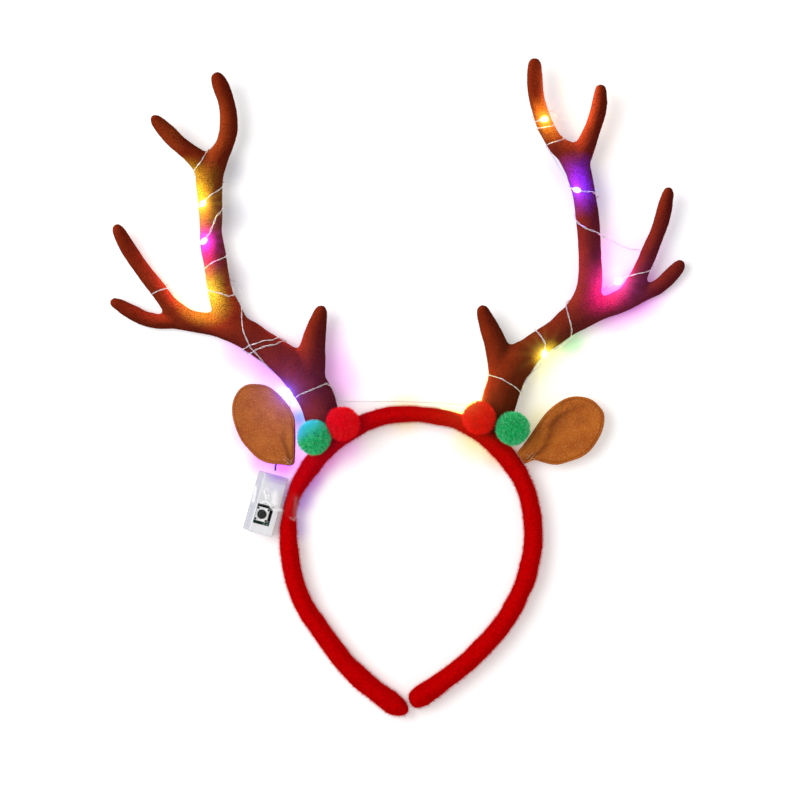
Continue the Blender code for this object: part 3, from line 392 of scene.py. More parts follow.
def string_light():
    """Shader group: the colour that the lit drops throw on a place, stronger where cloth faces them."""
    tree = bpy.data.node_groups.new("string_light", "ShaderNodeTree")
    tree.interface.new_socket("Place", in_out="INPUT", socket_type="NodeSocketVector")
    tree.interface.new_socket("Light", in_out="OUTPUT", socket_type="NodeSocketColor")
    place = add_node(tree, "NodeGroupInput").outputs["Place"]
    normal = add_node(tree, "ShaderNodeNewGeometry").outputs["Normal"]
    total = (0.0, 0.0, 0.0)
    for x, y, z, reach, colour in CLOTH_GLOWS:
        source = (x * MM, y * MM, z * MM)
        away = add_node(tree, "ShaderNodeVectorMath", {0: place, 1: source}, operation="DISTANCE")
        near = add_node(tree, "ShaderNodeMapRange", {
            "Value": away.outputs["Value"], "From Min": reach * MM, "From Max": reach * GLOW_FULL * MM,
        }, clamp=True)
        strong = add_node(tree, "ShaderNodeMath", {
            0: near.outputs["Result"], 1: GLOW_FADE}, operation="POWER")
        way = add_node(tree, "ShaderNodeVectorMath", {0: source, 1: place}, operation="SUBTRACT")
        way = add_node(tree, "ShaderNodeVectorMath", {0: way.outputs[0]}, operation="NORMALIZE")
        facing = add_node(tree, "ShaderNodeVectorMath", {
            0: way.outputs[0], 1: normal}, operation="DOT_PRODUCT")
        lit = add_node(tree, "ShaderNodeMapRange", {
            "Value": facing.outputs["Value"], "From Min": GLOW_TURNED[0], "From Max": GLOW_TURNED[1],
        }, clamp=True)
        fall = add_node(tree, "ShaderNodeMath", {
            0: strong.outputs[0], 1: lit.outputs["Result"]}, operation="MULTIPLY")
        thrown = add_node(tree, "ShaderNodeVectorMath", {
            0: linear(colour)[:3], "Scale": fall.outputs[0]}, operation="SCALE")
        total = add_node(tree, "ShaderNodeVectorMath", {
            0: thrown.outputs[0], 1: total}, operation="ADD").outputs[0]
    add_node(tree, "NodeGroupOutput", {"Light": total})
    return tree


def soak(material, group, strength, size):
    """Lets a soft surface glow with the string's light, broken up by its own fibres."""
    tree = material.node_tree
    shader = tree.nodes["Principled BSDF"]
    place = tree.nodes["Texture Coordinate"].outputs["Object"]
    light = add_node(tree, "ShaderNodeGroup", {"Place": place}, node_tree=group)
    fleck = grain(tree, place, size, 0.36, 0.7, 0.4, 1.7)
    broken = add_node(tree, "ShaderNodeVectorMath", {
        0: light.outputs["Light"], "Scale": fleck}, operation="SCALE")
    tree.links.new(broken.outputs[0], shader.inputs["Emission Color"])
    shader.inputs["Emission Strength"].default_value = strength


# Materials

def flocked_velvet():
    """Brown flocked velvet: short standing fibres, nearly black-red, with painted light that turns it orange
    on the side facing the light.
    """
    made, tree, shader, place = new_material("flocked_velvet_brown", 0.95)
    shader.inputs["Specular IOR Level"].default_value = 0.0
    away = mottled(tree, place, 16.0, 0.35, 0.65, "#501308", "#581609")
    lit_side_colour = mottled(tree, place, 13.0, 0.35, 0.65, "#82260F", "#963014")
    # Painted light and shade: lighter where the surface faces the light, darker where it is turned away.
    painted_light_and_shade = by_facing(tree, LIT_SIDE_WAY, 0.2, 0.95, away, lit_side_colour)
    fine = mottled(tree, place, 0.45, 0.54, 0.85, painted_light_and_shade, "#8A3616")
    dark = mottled(tree, place, 0.55, 0.46, 0.24, fine, "#300805")
    tree.links.new(dark, shader.inputs["Base Color"])
    roughened(tree, shader, place, 0.4, 0.08, 0.6)
    return made


def velvet_fibre():
    """The velvet's own fibres, each a little lighter or darker than the next."""
    made, tree, shader, place = new_material("flocked_velvet_fibres", 0.95)
    shader.inputs["Specular IOR Level"].default_value = 0.0
    patches = mottled(tree, place, 14.0, 0.35, 0.65, "#481007", "#5C190A")
    tree.links.new(by_attribute(tree, "shade", 0.4, 1.0, patches, "#7C2C12"), shader.inputs["Base Color"])
    return made


def plush(name, deep, bright, tip, size, painted_spots=()):
    """Dyed plush or yarn: matt fibres of one colour, deeper between them and paler at some tips."""
    made, tree, shader, place = new_material(name, 0.95)
    shader.inputs["Specular IOR Level"].default_value = 0.0
    body = mottled(tree, place, size, 0.32, 0.66, deep, bright)
    fibres = by_attribute(tree, "shade", 0.7, 1.0, body, tip)
    tree.links.new(with_painted_glow_and_shade(tree, place, fibres, painted_spots, "MIX"), shader.inputs["Base Color"])
    roughened(tree, shader, place, 0.6, 0.15, 0.5)
    return made


def felt():
    """Pressed tan felt: matted short fibres with a fine mottle, darker along its seams, and painted shade
    along its folds and its shaded edge.
    """
    made, tree, shader, place = new_material("pressed_felt_tan", 0.95, Sheen_Weight=0.15,
                                             Sheen_Tint=linear("#E8A070"))
    shader.inputs["Specular IOR Level"].default_value = 0.1
    mottle = mottled(tree, place, 7.0, 0.3, 0.7, "#9E4E18", "#B5621F")
    fine = mottled(tree, place, 0.6, 0.5, 0.85, mottle, "#CB8648")
    dark = mottled(tree, place, 0.7, 0.44, 0.2, fine, "#8A4214")
    # Painted shade: darker where the ear is marked along its folds and shaded edge, and along its seams.
    tree.links.new(by_attribute(tree, "seam_and_painted_shade", 0.0, 1.0, dark, "#5E2808"), shader.inputs["Base Color"])
    roughened(tree, shader, place, 0.5, 0.1, 0.6)
    return made


def sewing_thread():
    """Pale polyester thread, matt."""
    made, tree, shader, place = new_material("pale_sewing_thread", 0.7)
    tree.links.new(mottled(tree, place, 0.8, 0.3, 0.7, "#B88858", "#DDBB90"), shader.inputs["Base Color"])
    return made


def tinned_wire():
    """Bare tinned copper wire: bright, a little uneven from handling."""
    made, tree, shader, place = new_material("tinned_copper_wire", 0.35, 0.85)
    tree.links.new(mottled(tree, place, 2.0, 0.3, 0.7, "#E6E6EA", "#FFFFFF"), shader.inputs["Base Color"])
    roughened(tree, shader, place, 0.8, 0.05, 0.4)
    return made


def lit_drop(name, colour):
    """A clear resin bead lit from inside, far brighter than what lies round it."""
    made, _, shader, _ = new_material(f"lit_resin_{name}", 0.15, IOR=1.5, Emission_Strength=26.0)
    shader.inputs["Base Color"].default_value = linear(colour)
    whitened = [0.08 + 0.92 * part for part in linear(colour)[:3]]
    shader.inputs["Emission Color"].default_value = (*whitened, 1.0)
    return made


def clear_shell():
    """Moulded frosted polystyrene: a milky face that just lets the inside show, side walls painted greyer as
    shade, and a faint painted glow over all of it."""
    made, tree, shader, place = new_material("moulded_frosted_polystyrene", 0.3, IOR=1.59, Coat_Weight=0.3,
                                             Coat_Roughness=0.1)
    milky = mottled(tree, place, 12.0, 0.35, 0.65, "#DEE0E3", "#ECEDEF")
    tinted = with_painted_glow_and_shade(tree, place, milky, CASE_GLOWS, "MULTIPLY")
    # Painted shade: the side walls are greyer than the face, though both are the same plastic.
    painted_wall_shade = by_facing(tree, tuple(case_axes()[2]), 0.2, 0.97, "#ACAEB8", tinted)
    tree.links.new(painted_wall_shade, shader.inputs["Base Color"])
    # Painted glow: the case holds no lamp, yet the whole shell shines faintly.
    tree.links.new(painted_wall_shade, shader.inputs["Emission Color"])
    shader.inputs["Emission Strength"].default_value = 0.12
    shader.inputs["Alpha"].default_value = 0.84
    roughened(tree, shader, place, 2.5, 0.02, 0.3)
    return made


def clear_tape():
    """Clear sticky tape: a thin glossy film, nearly invisible but for white highlights painted on its wrinkles
    and edges.
    """
    made, tree, shader, place = new_material("clear_sticky_tape", 0.08, IOR=1.48)
    shader.inputs["Base Color"].default_value = linear("#FFFFFF")
    # Painted highlights: the film turns opaque white along the marked wrinkles and edges.
    wrinkle_glint = add_node(tree, "ShaderNodeAttribute", attribute_name="wrinkle_glint").outputs["Fac"]
    shown = add_node(tree, "ShaderNodeMapRange", {
        "Value": wrinkle_glint, "To Min": 0.002, "To Max": 0.85}, clamp=True)
    tree.links.new(shown.outputs["Result"], shader.inputs["Alpha"])
    roughened(tree, shader, place, 3.0, 0.15, 0.5)
    return made


def stamped_steel(name, deep, bright, roughness, metallic):
    """Stamped nickel-plated steel with fine draw marks."""
    made, tree, shader, place = new_material(name, roughness, metallic)
    stretched = add_node(tree, "ShaderNodeMapping", {"Vector": place, "Scale": (1.0, 0.12, 1.0)})
    drawn = stretched.outputs["Vector"]
    tree.links.new(mottled(tree, drawn, 0.25, 0.35, 0.65, deep, bright), shader.inputs["Base Color"])
    roughened(tree, shader, drawn, 0.2, 0.02, 0.3)
    return made


def moulded_plastic(name, deep, bright, roughness):
    """Injection-moulded plastic with a faint satin grain."""
    made, tree, shader, place = new_material(name, roughness)
    tree.links.new(mottled(tree, place, 0.8, 0.35, 0.65, deep, bright), shader.inputs["Base Color"])
    roughened(tree, shader, place, 0.15, 0.01, 0.4)
    return made


# Meshes

def new_object(name, data):
    """An object of this data, in the scene."""
    obj = bpy.data.objects.new(name, data)
    bpy.context.scene.collection.objects.link(obj)
    return obj


def baked(obj):
    """Gives the object the mesh that its modifiers make, and drops them."""
    graph = bpy.context.evaluated_depsgraph_get()
    mesh = bpy.data.meshes.new_from_object(obj.evaluated_get(graph))
    obj.modifiers.clear()
    old = obj.data
    obj.data = mesh
    bpy.data.meshes.remove(old)
    return obj


def piece(name, mesh, material=None, slot=None, body=BODY, replaces=()):
    """A finished mesh as a piece that rides on a body."""
    obj = mesh if isinstance(mesh, bpy.types.Object) else new_object(name, mesh)
    if material:
        obj.data.materials.clear()
        obj.data.materials.append(material)
    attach(obj, body)
    if replaces:
        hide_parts(*replaces)
    return obj


def built(name, shape, material, slot, **more):
    """A piece made from a shape's points and faces."""
    return piece(name, mesh_from(name, *shape), material, slot, **more)


def welded_copy(node, name):
    """A new object with the CAD node's mesh, its loose triangles joined."""
    shape = bmesh.new()
    shape.from_mesh(NODES[node].data)
    bmesh.ops.remove_doubles(shape, verts=shape.verts, dist=WELD)
    mesh = bpy.data.meshes.new(name)
    shape.to_mesh(mesh)
    shape.free()
    if "custom_normal" in mesh.attributes:
        mesh.attributes.remove(mesh.attributes["custom_normal"])
    mesh.materials.clear()
    return new_object(name, mesh)


def subdivided(obj, levels, kind="CATMULL_CLARK"):
    """Divides every face of the object this many times."""
    finer = obj.modifiers.new("finer", "SUBSURF")
    finer.levels = levels
    finer.render_levels = levels
    finer.subdivision_type = kind
    baked(obj)


def shaded_smooth(mesh):
    """Shades every face smooth."""
    mesh.polygons.foreach_set("use_smooth", [True] * len(mesh.polygons))


def points_of(mesh):
    """The vertices' places as rows of an array."""
    spots = np.empty(len(mesh.vertices) * 3)
    mesh.vertices.foreach_get("co", spots)
    return spots.reshape(-1, 3)


def normals_of(mesh):
    """The vertices' normals as rows of an array."""
    ways = np.empty(len(mesh.vertices) * 3)
    mesh.vertices.foreach_get("normal", ways)
    return ways.reshape(-1, 3)


def set_points(mesh, spots):
    """Moves the vertices to these places."""
    mesh.vertices.foreach_set("co", np.ascontiguousarray(spots, np.float64).ravel())
    mesh.update()


def above_floor(spots):
    """The points, with none of them in the gap kept over the floor."""
    spots[:, 2] = np.maximum(spots[:, 2], FLOOR_GAP)
    return spots


def surface_tree(obj):
    """The object's surface as a tree that finds its nearest point and where a ray meets it."""
    shape = bmesh.new()
    shape.from_mesh(obj.data)
    tree = BVHTree.FromBMesh(shape)
    shape.free()
    return tree


def pile_tree():
    """Geometry Nodes: tapered fibres standing on every face, leaning at random, each with its own shade."""
    tree = bpy.data.node_groups.new("fibre_pile", "GeometryNodeTree")
    sockets = [
        ("Geometry", "NodeSocketGeometry"), ("Fibres per mm2", "NodeSocketFloat"),
        ("Length", "NodeSocketFloat"), ("Foot radius", "NodeSocketFloat"), ("Lean", "NodeSocketFloat"),
        ("Shortest", "NodeSocketFloat"), ("Seed", "NodeSocketInt"), ("Material", "NodeSocketMaterial"),
    ]
    for name, kind in sockets:
        tree.interface.new_socket(name, in_out="INPUT", socket_type=kind)
    tree.interface.new_socket("Geometry", in_out="OUTPUT", socket_type="NodeSocketGeometry")
    given = add_node(tree, "NodeGroupInput").outputs
    density = add_node(tree, "ShaderNodeMath", {
        0: given["Fibres per mm2"], 1: 1.0 / MM ** 2}, operation="MULTIPLY")
    spread = add_node(tree, "GeometryNodeDistributePointsOnFaces",
                      {"Mesh": given["Geometry"], "Density": density.outputs[0], "Seed": given["Seed"]})
    fibre = add_node(tree, "GeometryNodeMeshCone", {
        "Vertices": 3, "Side Segments": 1, "Radius Top": 0.0, "Radius Bottom": given["Foot radius"],
        "Depth": given["Length"]}, fill_type="NONE")
    low = add_node(tree, "ShaderNodeMath", {0: given["Lean"], 1: -1.0}, operation="MULTIPLY")
    low_edge = add_node(tree, "ShaderNodeCombineXYZ", {"X": low.outputs[0], "Y": low.outputs[0], "Z": -3.1})
    high_edge = add_node(tree, "ShaderNodeCombineXYZ", {"X": given["Lean"], "Y": given["Lean"], "Z": 3.1})
    turn = add_node(tree, "FunctionNodeRandomValue", {"Seed": given["Seed"]}, data_type="FLOAT_VECTOR")
    tree.links.new(low_edge.outputs[0], turn.inputs[0])
    tree.links.new(high_edge.outputs[0], turn.inputs[1])
    tilt = add_node(tree, "FunctionNodeRotateRotation", {
        "Rotation": spread.outputs["Rotation"], "Rotate By": turn.outputs[0]}, rotation_space="LOCAL")
    size = add_node(tree, "FunctionNodeRandomValue", {"Seed": 7}, data_type="FLOAT")
    tree.links.new(given["Shortest"], size.inputs[2])
    size.inputs[3].default_value = 1.0
    stand = add_node(tree, "GeometryNodeInstanceOnPoints", {
        "Points": spread.outputs["Points"], "Instance": fibre.outputs["Mesh"],
        "Rotation": tilt.outputs["Rotation"], "Scale": size.outputs[1]})
    shade = add_node(tree, "FunctionNodeRandomValue", {"Seed": 11}, data_type="FLOAT")
    keep = add_node(tree, "GeometryNodeStoreNamedAttribute", {
        "Geometry": stand.outputs["Instances"], "Name": "shade", "Value": shade.outputs[1]},
        data_type="FLOAT", domain="INSTANCE")
    real = add_node(tree, "GeometryNodeRealizeInstances", {"Geometry": keep.outputs["Geometry"]})
    dressed = add_node(tree, "GeometryNodeSetMaterial",
                       {"Geometry": real.outputs["Geometry"], "Material": given["Material"]})
    add_node(tree, "NodeGroupOutput", {"Geometry": dressed.outputs["Geometry"]})
    return tree


def grow_pile(name, ground, material, per_mm2, length, foot, lean, shortest, seed):
    """Fibres standing on the ground object's faces, as one plain mesh kept above the floor."""
    obj = new_object(name, ground.data.copy())
    grow = obj.modifiers.new("pile", "NODES")
    grow.node_group = PILE
    values = {"Fibres per mm2": per_mm2, "Length": length * MM, "Foot radius": foot * MM, "Lean": lean,
              "Shortest": shortest, "Seed": seed, "Material": material}
    for item in PILE.interface.items_tree:
        if item.in_out == "INPUT" and item.name in values:
            grow[item.identifier] = values[item.name]
    baked(obj)
    set_points(obj.data, above_floor(points_of(obj.data)))
    return obj


def shrunk(obj, amount_mm):
    """Moves every vertex in along its normal."""
    set_points(obj.data, points_of(obj.data) - normals_of(obj.data) * amount_mm * MM)


def lumps(obj, size_mm, height_mm, seed):
    """Soft unevenness, as stuffed cloth has."""
    mesh = obj.data
    spots, ways = points_of(mesh), normals_of(mesh)
    shift = Vector((seed * 3.7, seed * 1.3, 0))
    rise = np.array([noise.noise(Vector(p) / (size_mm * MM) + shift) for p in spots])
    set_points(mesh, above_floor(spots + ways * (rise * height_mm * MM)[:, None]))


def one_skin(obj, voxel_mm, rounds):
    """Rebuilds the solid as one even skin and softens its facets."""
    skin = obj.modifiers.new("one skin", "REMESH")
    skin.mode = "VOXEL"
    skin.voxel_size = voxel_mm * MM
    soft = obj.modifiers.new("soft", "SMOOTH")
    soft.factor = 0.5
    soft.iterations = rounds
    baked(obj)


# Antlers

def make_antler(name, seed):
    """The stuffed antler: one smooth skin with soft lumps, and the velvet's fibres standing on it."""
    antler = welded_copy(name, name + "_velvet")
    one_skin(antler, voxel_mm=0.8, rounds=10)
    lumps(antler, size_mm=11.0, height_mm=0.45, seed=seed)
    lumps(antler, size_mm=4.0, height_mm=0.12, seed=seed + 5)
    shrunk(antler, 0.15)
    shaded_smooth(antler.data)
    piece(antler.name, antler, VELVET, "velvet_brown", replaces=[name])
    pile = grow_pile(name + "_fibres", antler, VELVET_FIBRE, per_mm2=4.0, length=0.42, foot=0.045, lean=0.7,
                     shortest=0.5, seed=seed)
    piece(pile.name, pile, None, "velvet_brown")
    return antler


# Band

# The strip's two blunt ends: x, y of a point just inside, reach, and how far the end swells there.
BAND_ENDS = [(8.4, -145.2, 9.0, 1.5), (1.2, -148.6, 8.0, 0.9)]


def swell(obj, middle, reach_mm, grow_mm):
    """Pushes the skin out round a point, and leaves it where it is beyond the reach."""
    spots = points_of(obj.data)
    away = spots - np.array(middle) * MM
    far = np.linalg.norm(away, axis=1)
    fall = np.clip(1 - far / (reach_mm * MM), 0, 1) ** 0.5
    spots = spots + away / np.maximum(far, 1e-9)[:, None] * (fall * grow_mm * MM)[:, None]
    set_points(obj.data, above_floor(spots))


def make_band():
    """The padded strip under its plush, and the plush fibres."""
    core = welded_copy("band", "band_plush")
    one_skin(core, voxel_mm=0.8, rounds=8)
    for x, y, reach, grow in BAND_ENDS:
        swell(core, (x, y, BAND_CENTRE_Z), reach, grow)
    lumps(core, size_mm=8.0, height_mm=0.5, seed=3)
    shrunk(core, 0.25)
    shaded_smooth(core.data)
    piece(core.name, core, RED_PLUSH, "plush_red", replaces=["band"])
    pile = grow_pile("band_fibres", core, RED_PLUSH, per_mm2=3.4, length=2.0, foot=0.06, lean=0.8,
                     shortest=0.25, seed=4)
    piece(pile.name, pile, None, "plush_red")
    return core


# Pompoms

# The heart's share of the whole ball; the rest is yarn ends.
HEART_SHARE = 0.82


def make_pompom(name, material, slot, seed):
    """A ball of dense yarn ends: a lumpy heart and the fibres that stand out of it."""
    heart = welded_copy(name, name + "_heart")
    subdivided(heart, 1)
    spots = points_of(heart.data)
    middle = (spots.min(axis=0) + spots.max(axis=0)) / 2
    set_points(heart.data, middle + (spots - middle) * HEART_SHARE)
    lumps(heart, size_mm=2.5, height_mm=0.6, seed=seed)
    shaded_smooth(heart.data)
    piece(heart.name, heart, material, slot, replaces=[name])
    pile = grow_pile(name + "_fibres", heart, material, per_mm2=13.0, length=2.5, foot=0.15, lean=0.55,
                     shortest=0.5, seed=seed)
    piece(pile.name, pile, None, slot)


# Ears

# Where each ear's felt is dented in and painted darker: painted shade along the fold and at its shaded edge,
# and a darker line along its second seam. Rows are x, y, x, y, width in millimetres, how strongly.
DENTS_AND_SHADE = {
    "ear_left": [
        (-50.0, -36.4, -51.0, -31.2, 0.9, 0.4), (-51.0, -31.2, -53.4, -25.0, 1.4, 0.22),
        (-47.7, -20.0, -47.9, -36.0, 1.2, 0.75),
    ],
    "ear_right": [
        (62.3, -33.0, 66.5, -31.1, 0.7, 0.4), (66.5, -31.1, 69.9, -26.8, 1.0, 0.4),
        (69.9, -26.8, 71.6, -22.2, 1.4, 0.3), (71.6, -22.2, 72.7, -17.1, 1.6, 0.24),
        (72.7, -17.1, 75.9, -13.7, 2.0, 0.2), (75.9, -13.7, 80.5, -12.6, 2.0, 0.12),
        (70.1, -12.5, 66.6, -18.9, 0.35, 0.16), (66.6, -18.9, 65.2, -26.1, 0.35, 0.16),
        (65.2, -26.1, 64.5, -29.6, 0.35, 0.16),
    ],
}

# Pale thread over each ear's root: x, y, x, y.
THREADS = {
    "ear_left": [
        (-53.6, -33.4, -49.8, -36.6), (-52.4, -32.8, -49.2, -35.4), (-52.9, -36.4, -50.4, -34.9),
        (-50.6, -37.2, -49.3, -33.4),
    ],
    "ear_right": [
        (61.0, -33.4, 63.6, -30.0), (61.8, -34.6, 64.6, -31.2), (60.4, -31.4, 62.6, -32.8),
        (62.6, -33.0, 65.2, -33.8),
    ],
}
THREAD_RADIUS = 0.11

# The turned rim and the seam inside it: how far in from the edge, how wide and how high or deep.
RIM_PUFF = (0.6, 0.5, 0.2)
RIM_SEAM = (1.4, 0.28, 0.3)
FOLD_DEPTH = 0.5

# How dark the seam's pressed felt is.
SEAM_DARK = 0.42


def rim_of(mesh):
    """The edges where the front of a sheet turns into its back, as pairs of (x, y)."""
    shape = bmesh.new()
    shape.from_mesh(mesh)
    shape.normal_update()
    pairs = []
    for edge in shape.edges:
        if len(edge.link_faces) == 2:
            a, b = (face.normal.z for face in edge.link_faces)
            if (a > 0) != (b > 0):
                pairs.append([tuple(vert.co[:2]) for vert in edge.verts])
    shape.free()
    return np.array(pairs)


def off_line(spots, a, b):
    """How far each point lies from a straight line between two points."""
    side = b - a
    t = np.clip(((spots - a) @ side) / max(side @ side, 1e-12), 0, 1)
    return np.linalg.norm(spots - (a + t[:, None] * side), axis=1)


def marked_lines(spots, rows):
    """How strongly each point is marked by lines given as x, y, x, y, width in millimetres, strength."""
    mark = np.zeros(len(spots))
    for x0, y0, x1, y1, wide, much in rows:
        far = off_line(spots[:, :2], np.array((x0, y0)) * MM, np.array((x1, y1)) * MM)
        mark = np.maximum(mark, much * np.exp(-(far / (wide * MM)) ** 2))
    return mark


def keep_attribute(mesh, name, values):
    """Stores one number for each vertex, for a material to read."""
    kept = mesh.attributes.new(name, "FLOAT", "POINT")
    kept.data.foreach_set("value", values.astype(np.float32))


def make_ear(name, seed):
    """Doubled felt: a turned rim, a sunken, darker seam just inside it, and folds dented in near the root,
    with shade painted along the folds and one shaded edge.
    """
    ear = welded_copy(name, name + "_felt")
    rim = rim_of(ear.data)
    subdivided(ear, 3)
    mesh = ear.data
    spots, ways = points_of(mesh), normals_of(mesh)
    inside = np.min([off_line(spots[:, :2], a, b) for a, b in rim], axis=0)
    puff, seam = [np.exp(-((inside - far * MM) / (wide * MM)) ** 2) for far, wide, _ in (RIM_PUFF, RIM_SEAM)]
    dent_and_shade = marked_lines(spots, DENTS_AND_SHADE[name])
    front = ways[:, 2] > 0.3
    rise = RIM_PUFF[2] * puff - RIM_SEAM[2] * seam - FOLD_DEPTH * dent_and_shade
    spots = spots + ways * (rise * front * MM)[:, None]
    set_points(mesh, spots)
    lumps(ear, size_mm=9.0, height_mm=0.35, seed=seed)
    # Painted shade along the folds and the shaded edge, with the seam's darker line, for the felt to read.
    keep_attribute(mesh, "seam_and_painted_shade", np.maximum(seam * SEAM_DARK, dent_and_shade))
    shaded_smooth(mesh)
    piece(ear.name, ear, FELT, "felt_tan", replaces=[name])
    sew_root(name, surface_tree(ear))


def sew_root(name, tree):
    """Loose pale stitches that close the ear's root, laid over the felt."""
    points, faces = [], []
    for x0, y0, x1, y1 in THREADS[name]:
        line = []
        for t in np.linspace(0, 1, 9):
            x, y = (x0 + (x1 - x0) * t) * MM, (y0 + (y1 - y0) * t) * MM
            hit = tree.ray_cast(Vector((x, y, RAY_START)), Vector((0, 0, -1)))[0]
            if hit is not None:
                line.append((x, y, hit.z + (0.12 + 0.25 * math.sin(math.pi * t)) * MM))
        if len(line) > 2:
            strand(np.array(line), THREAD_RADIUS * MM, 6, points, faces)
    built(name + "_thread", (points, faces), THREAD, "felt_tan")


# Light wire

def nearest_hits(trees, spot, reach_mm):
    """Where each surface within reach comes nearest to the spot, with its normal, face and distance."""
    hits = [tree.find_nearest(spot, reach_mm * MM) for tree in trees]
    return [hit for hit in hits if hit[0] is not None]


def clear_of(point, room, trees):
    """The point, moved out of every surface until this much room is left."""
    for tree in trees:
        spot, normal, _, far = tree.find_nearest(point, CLOTH_SEARCH * MM)
        if spot is None:
            continue
        if (point - spot).dot(normal) < 0 or far < room:
            point = spot + normal * room
    point.z = max(point.z, WIRE_LOWEST * MM)
    return point


def middle_height(x, y, trees):
    """The height of the nearest branch's middle, half way between its front and its back."""
    spot = Vector((x, y, BRANCH_HEIGHT * MM))
    near = min(nearest_hits(trees, spot, reach_mm=40), key=lambda hit: hit[3])[0]
    inward = near + (near - spot).normalized() * 2 * MM if near != spot else near
    heights = []
    for tree in trees:
        for side in (1, -1):
            start = Vector((inward.x, inward.y, RAY_START * side))
            hit = tree.ray_cast(start, Vector((0, 0, -side)))[0]
            if hit is not None:
                heights.append(hit.z)
    return (min(heights) + max(heights)) / 2 if heights else near.z


def route_marks(trees):
    """The route's points in space, whether each is held where it was drawn, and whether it carries a drop."""
    marks = []
    for x, y, place, drop in ROUTE:
        spot = Vector((x + DRAWN_FROM[0], y + DRAWN_FROM[1], 0)) * MM
        if place in ("front", "back"):
            side = 1 if place == "front" else -1
            start = Vector((spot.x, spot.y, RAY_START * side))
            hits = [tree.ray_cast(start, Vector((0, 0, -side)))[0] for tree in trees]
            found = [hit for hit in hits if hit is not None]
            spot.z = found[0].z + side * WIRE_ROOM * MM if found else middle_height(spot.x, spot.y, trees)
        else:
            spot.z = middle_height(spot.x, spot.y, trees) if place == "edge" else place * MM
        marks.append((spot, place != "back", drop))
    return marks


def wire_path(trees):
    """The light wire's middle line, drawn tight over the antlers, and which of its points carry the drops."""
    marks = route_marks(trees[:2])
    path, pins, drops = [], {}, []
    for k, (spot, held, drop) in enumerate(marks):
        if k:
            last = marks[k - 1][0]
            gap = (spot - last).length
            for step in range(1, max(1, round(gap / (ROUTE_STEP * MM)))):
                path.append(last.lerp(spot, step * ROUTE_STEP * MM / gap))
        if held:
            pins[len(path)] = spot.copy()
        if drop:
            drops.append(len(path))
        path.append(spot.copy())
    rooms = [WIRE_ROOM * MM] * len(path)
    for at in drops:
        for k in range(max(0, at - 1), min(len(path), at + 2)):
            rooms[k] = (DROP_RADIUS + DROP_ROOM) * MM
    for turn in range(PULL_ROUNDS):
        for k in range(1, len(path) - 1):
            path[k] = path[k] * 0.4 + (path[k - 1] + path[k + 1]) * 0.3
            if k in pins:
                path[k].x, path[k].y = pins[k].x, pins[k].y
            path[k] = clear_of(path[k], rooms[k], trees)
        if turn >= PART_FROM:
            part_passes(path, trees[:2])
    return path, drops


def part_passes(path, trees):
    """Lifts the later pass of the wire off the earlier one wherever it crosses itself."""
    spots = np.array([tuple(p) for p in path])
    least = PASS_ROOM * MM
    for k in range(OWN_RUN + 4, len(path)):
        far = np.linalg.norm(spots[:k - OWN_RUN] - spots[k], axis=1)
        near = int(far.argmin())
        if far[near] >= least:
            continue
        found = nearest_hits(trees, path[k], CLOTH_SEARCH)
        away = found[0][1] if found else Vector((0, 0, 1))
        path[k] = path[k] + away * (least - far[near]) * 0.7
        spots[k] = tuple(path[k])


def resampled(path, step):
    """Evenly spaced points on a smooth line through the path, and how far along it they and the path's own
    points lie."""
    rows = np.array([tuple(p) for p in path])
    ends = np.vstack([2 * rows[0] - rows[1], rows, 2 * rows[-1] - rows[-2]])
    fine = []
    for k in range(1, len(ends) - 2):
        p0, p1, p2, p3 = ends[k - 1], ends[k], ends[k + 1], ends[k + 2]
        for t in np.linspace(0, 1, SMOOTH_STEPS, endpoint=False):
            fine.append(0.5 * (2 * p1 + (p2 - p0) * t + (2 * p0 - 5 * p1 + 4 * p2 - p3) * t**2
                               + (3 * p1 - p0 - 3 * p2 + p3) * t**3))
    fine.append(ends[-2])
    fine = np.array(fine)
    run = np.concatenate([[0], np.cumsum(np.linalg.norm(np.diff(fine, axis=0), axis=1))])
    marks = run[::SMOOTH_STEPS]
    count = int(run[-1] / step)
    places = np.linspace(0, run[-1], count + 1)
    return np.column_stack([np.interp(places, run, fine[:, i]) for i in range(3)]), places, marks


def frames_along(line):
    """Two directions across the line at each point, turning no more than the line does."""
    along = np.gradient(line, axis=0)
    along /= np.linalg.norm(along, axis=1)[:, None]
    side = np.array(Vector(along[0]).orthogonal().normalized())
    sides = []
    for way in along:
        side = side - way * (side @ way)
        side = side / np.linalg.norm(side)
        sides.append(side)
    sides = np.array(sides)
    return along, sides, np.cross(along, sides)


def strand(line, radius, sides, points, faces):
    """Adds a round strand along the line."""
    _, across, over = frames_along(line)
    base = len(points)
    for k, spot in enumerate(line):
        for s in range(sides):
            a = 2 * math.pi * s / sides
            points.append(spot + (across[k] * math.cos(a) + over[k] * math.sin(a)) * radius)
        if k:
            for s in range(sides):
                n = (s + 1) % sides
                a, b = base + (k - 1) * sides, base + k * sides
                faces.append((a + s, a + n, b + n, b + s))
    faces.append(tuple(base + s for s in reversed(range(sides))))
    faces.append(tuple(len(points) - sides + s for s in range(sides)))


def mesh_from(name, points, faces):
    """A smooth mesh of these points and faces, its faces turned outwards."""
    mesh = bpy.data.meshes.new(name)
    mesh.from_pydata([tuple(map(float, p)) for p in points], [], faces)
    shape = bmesh.new()
    shape.from_mesh(mesh)
    bmesh.ops.recalc_face_normals(shape, faces=shape.faces)
    shape.to_mesh(mesh)
    shape.free()
    shaded_smooth(mesh)
    return mesh


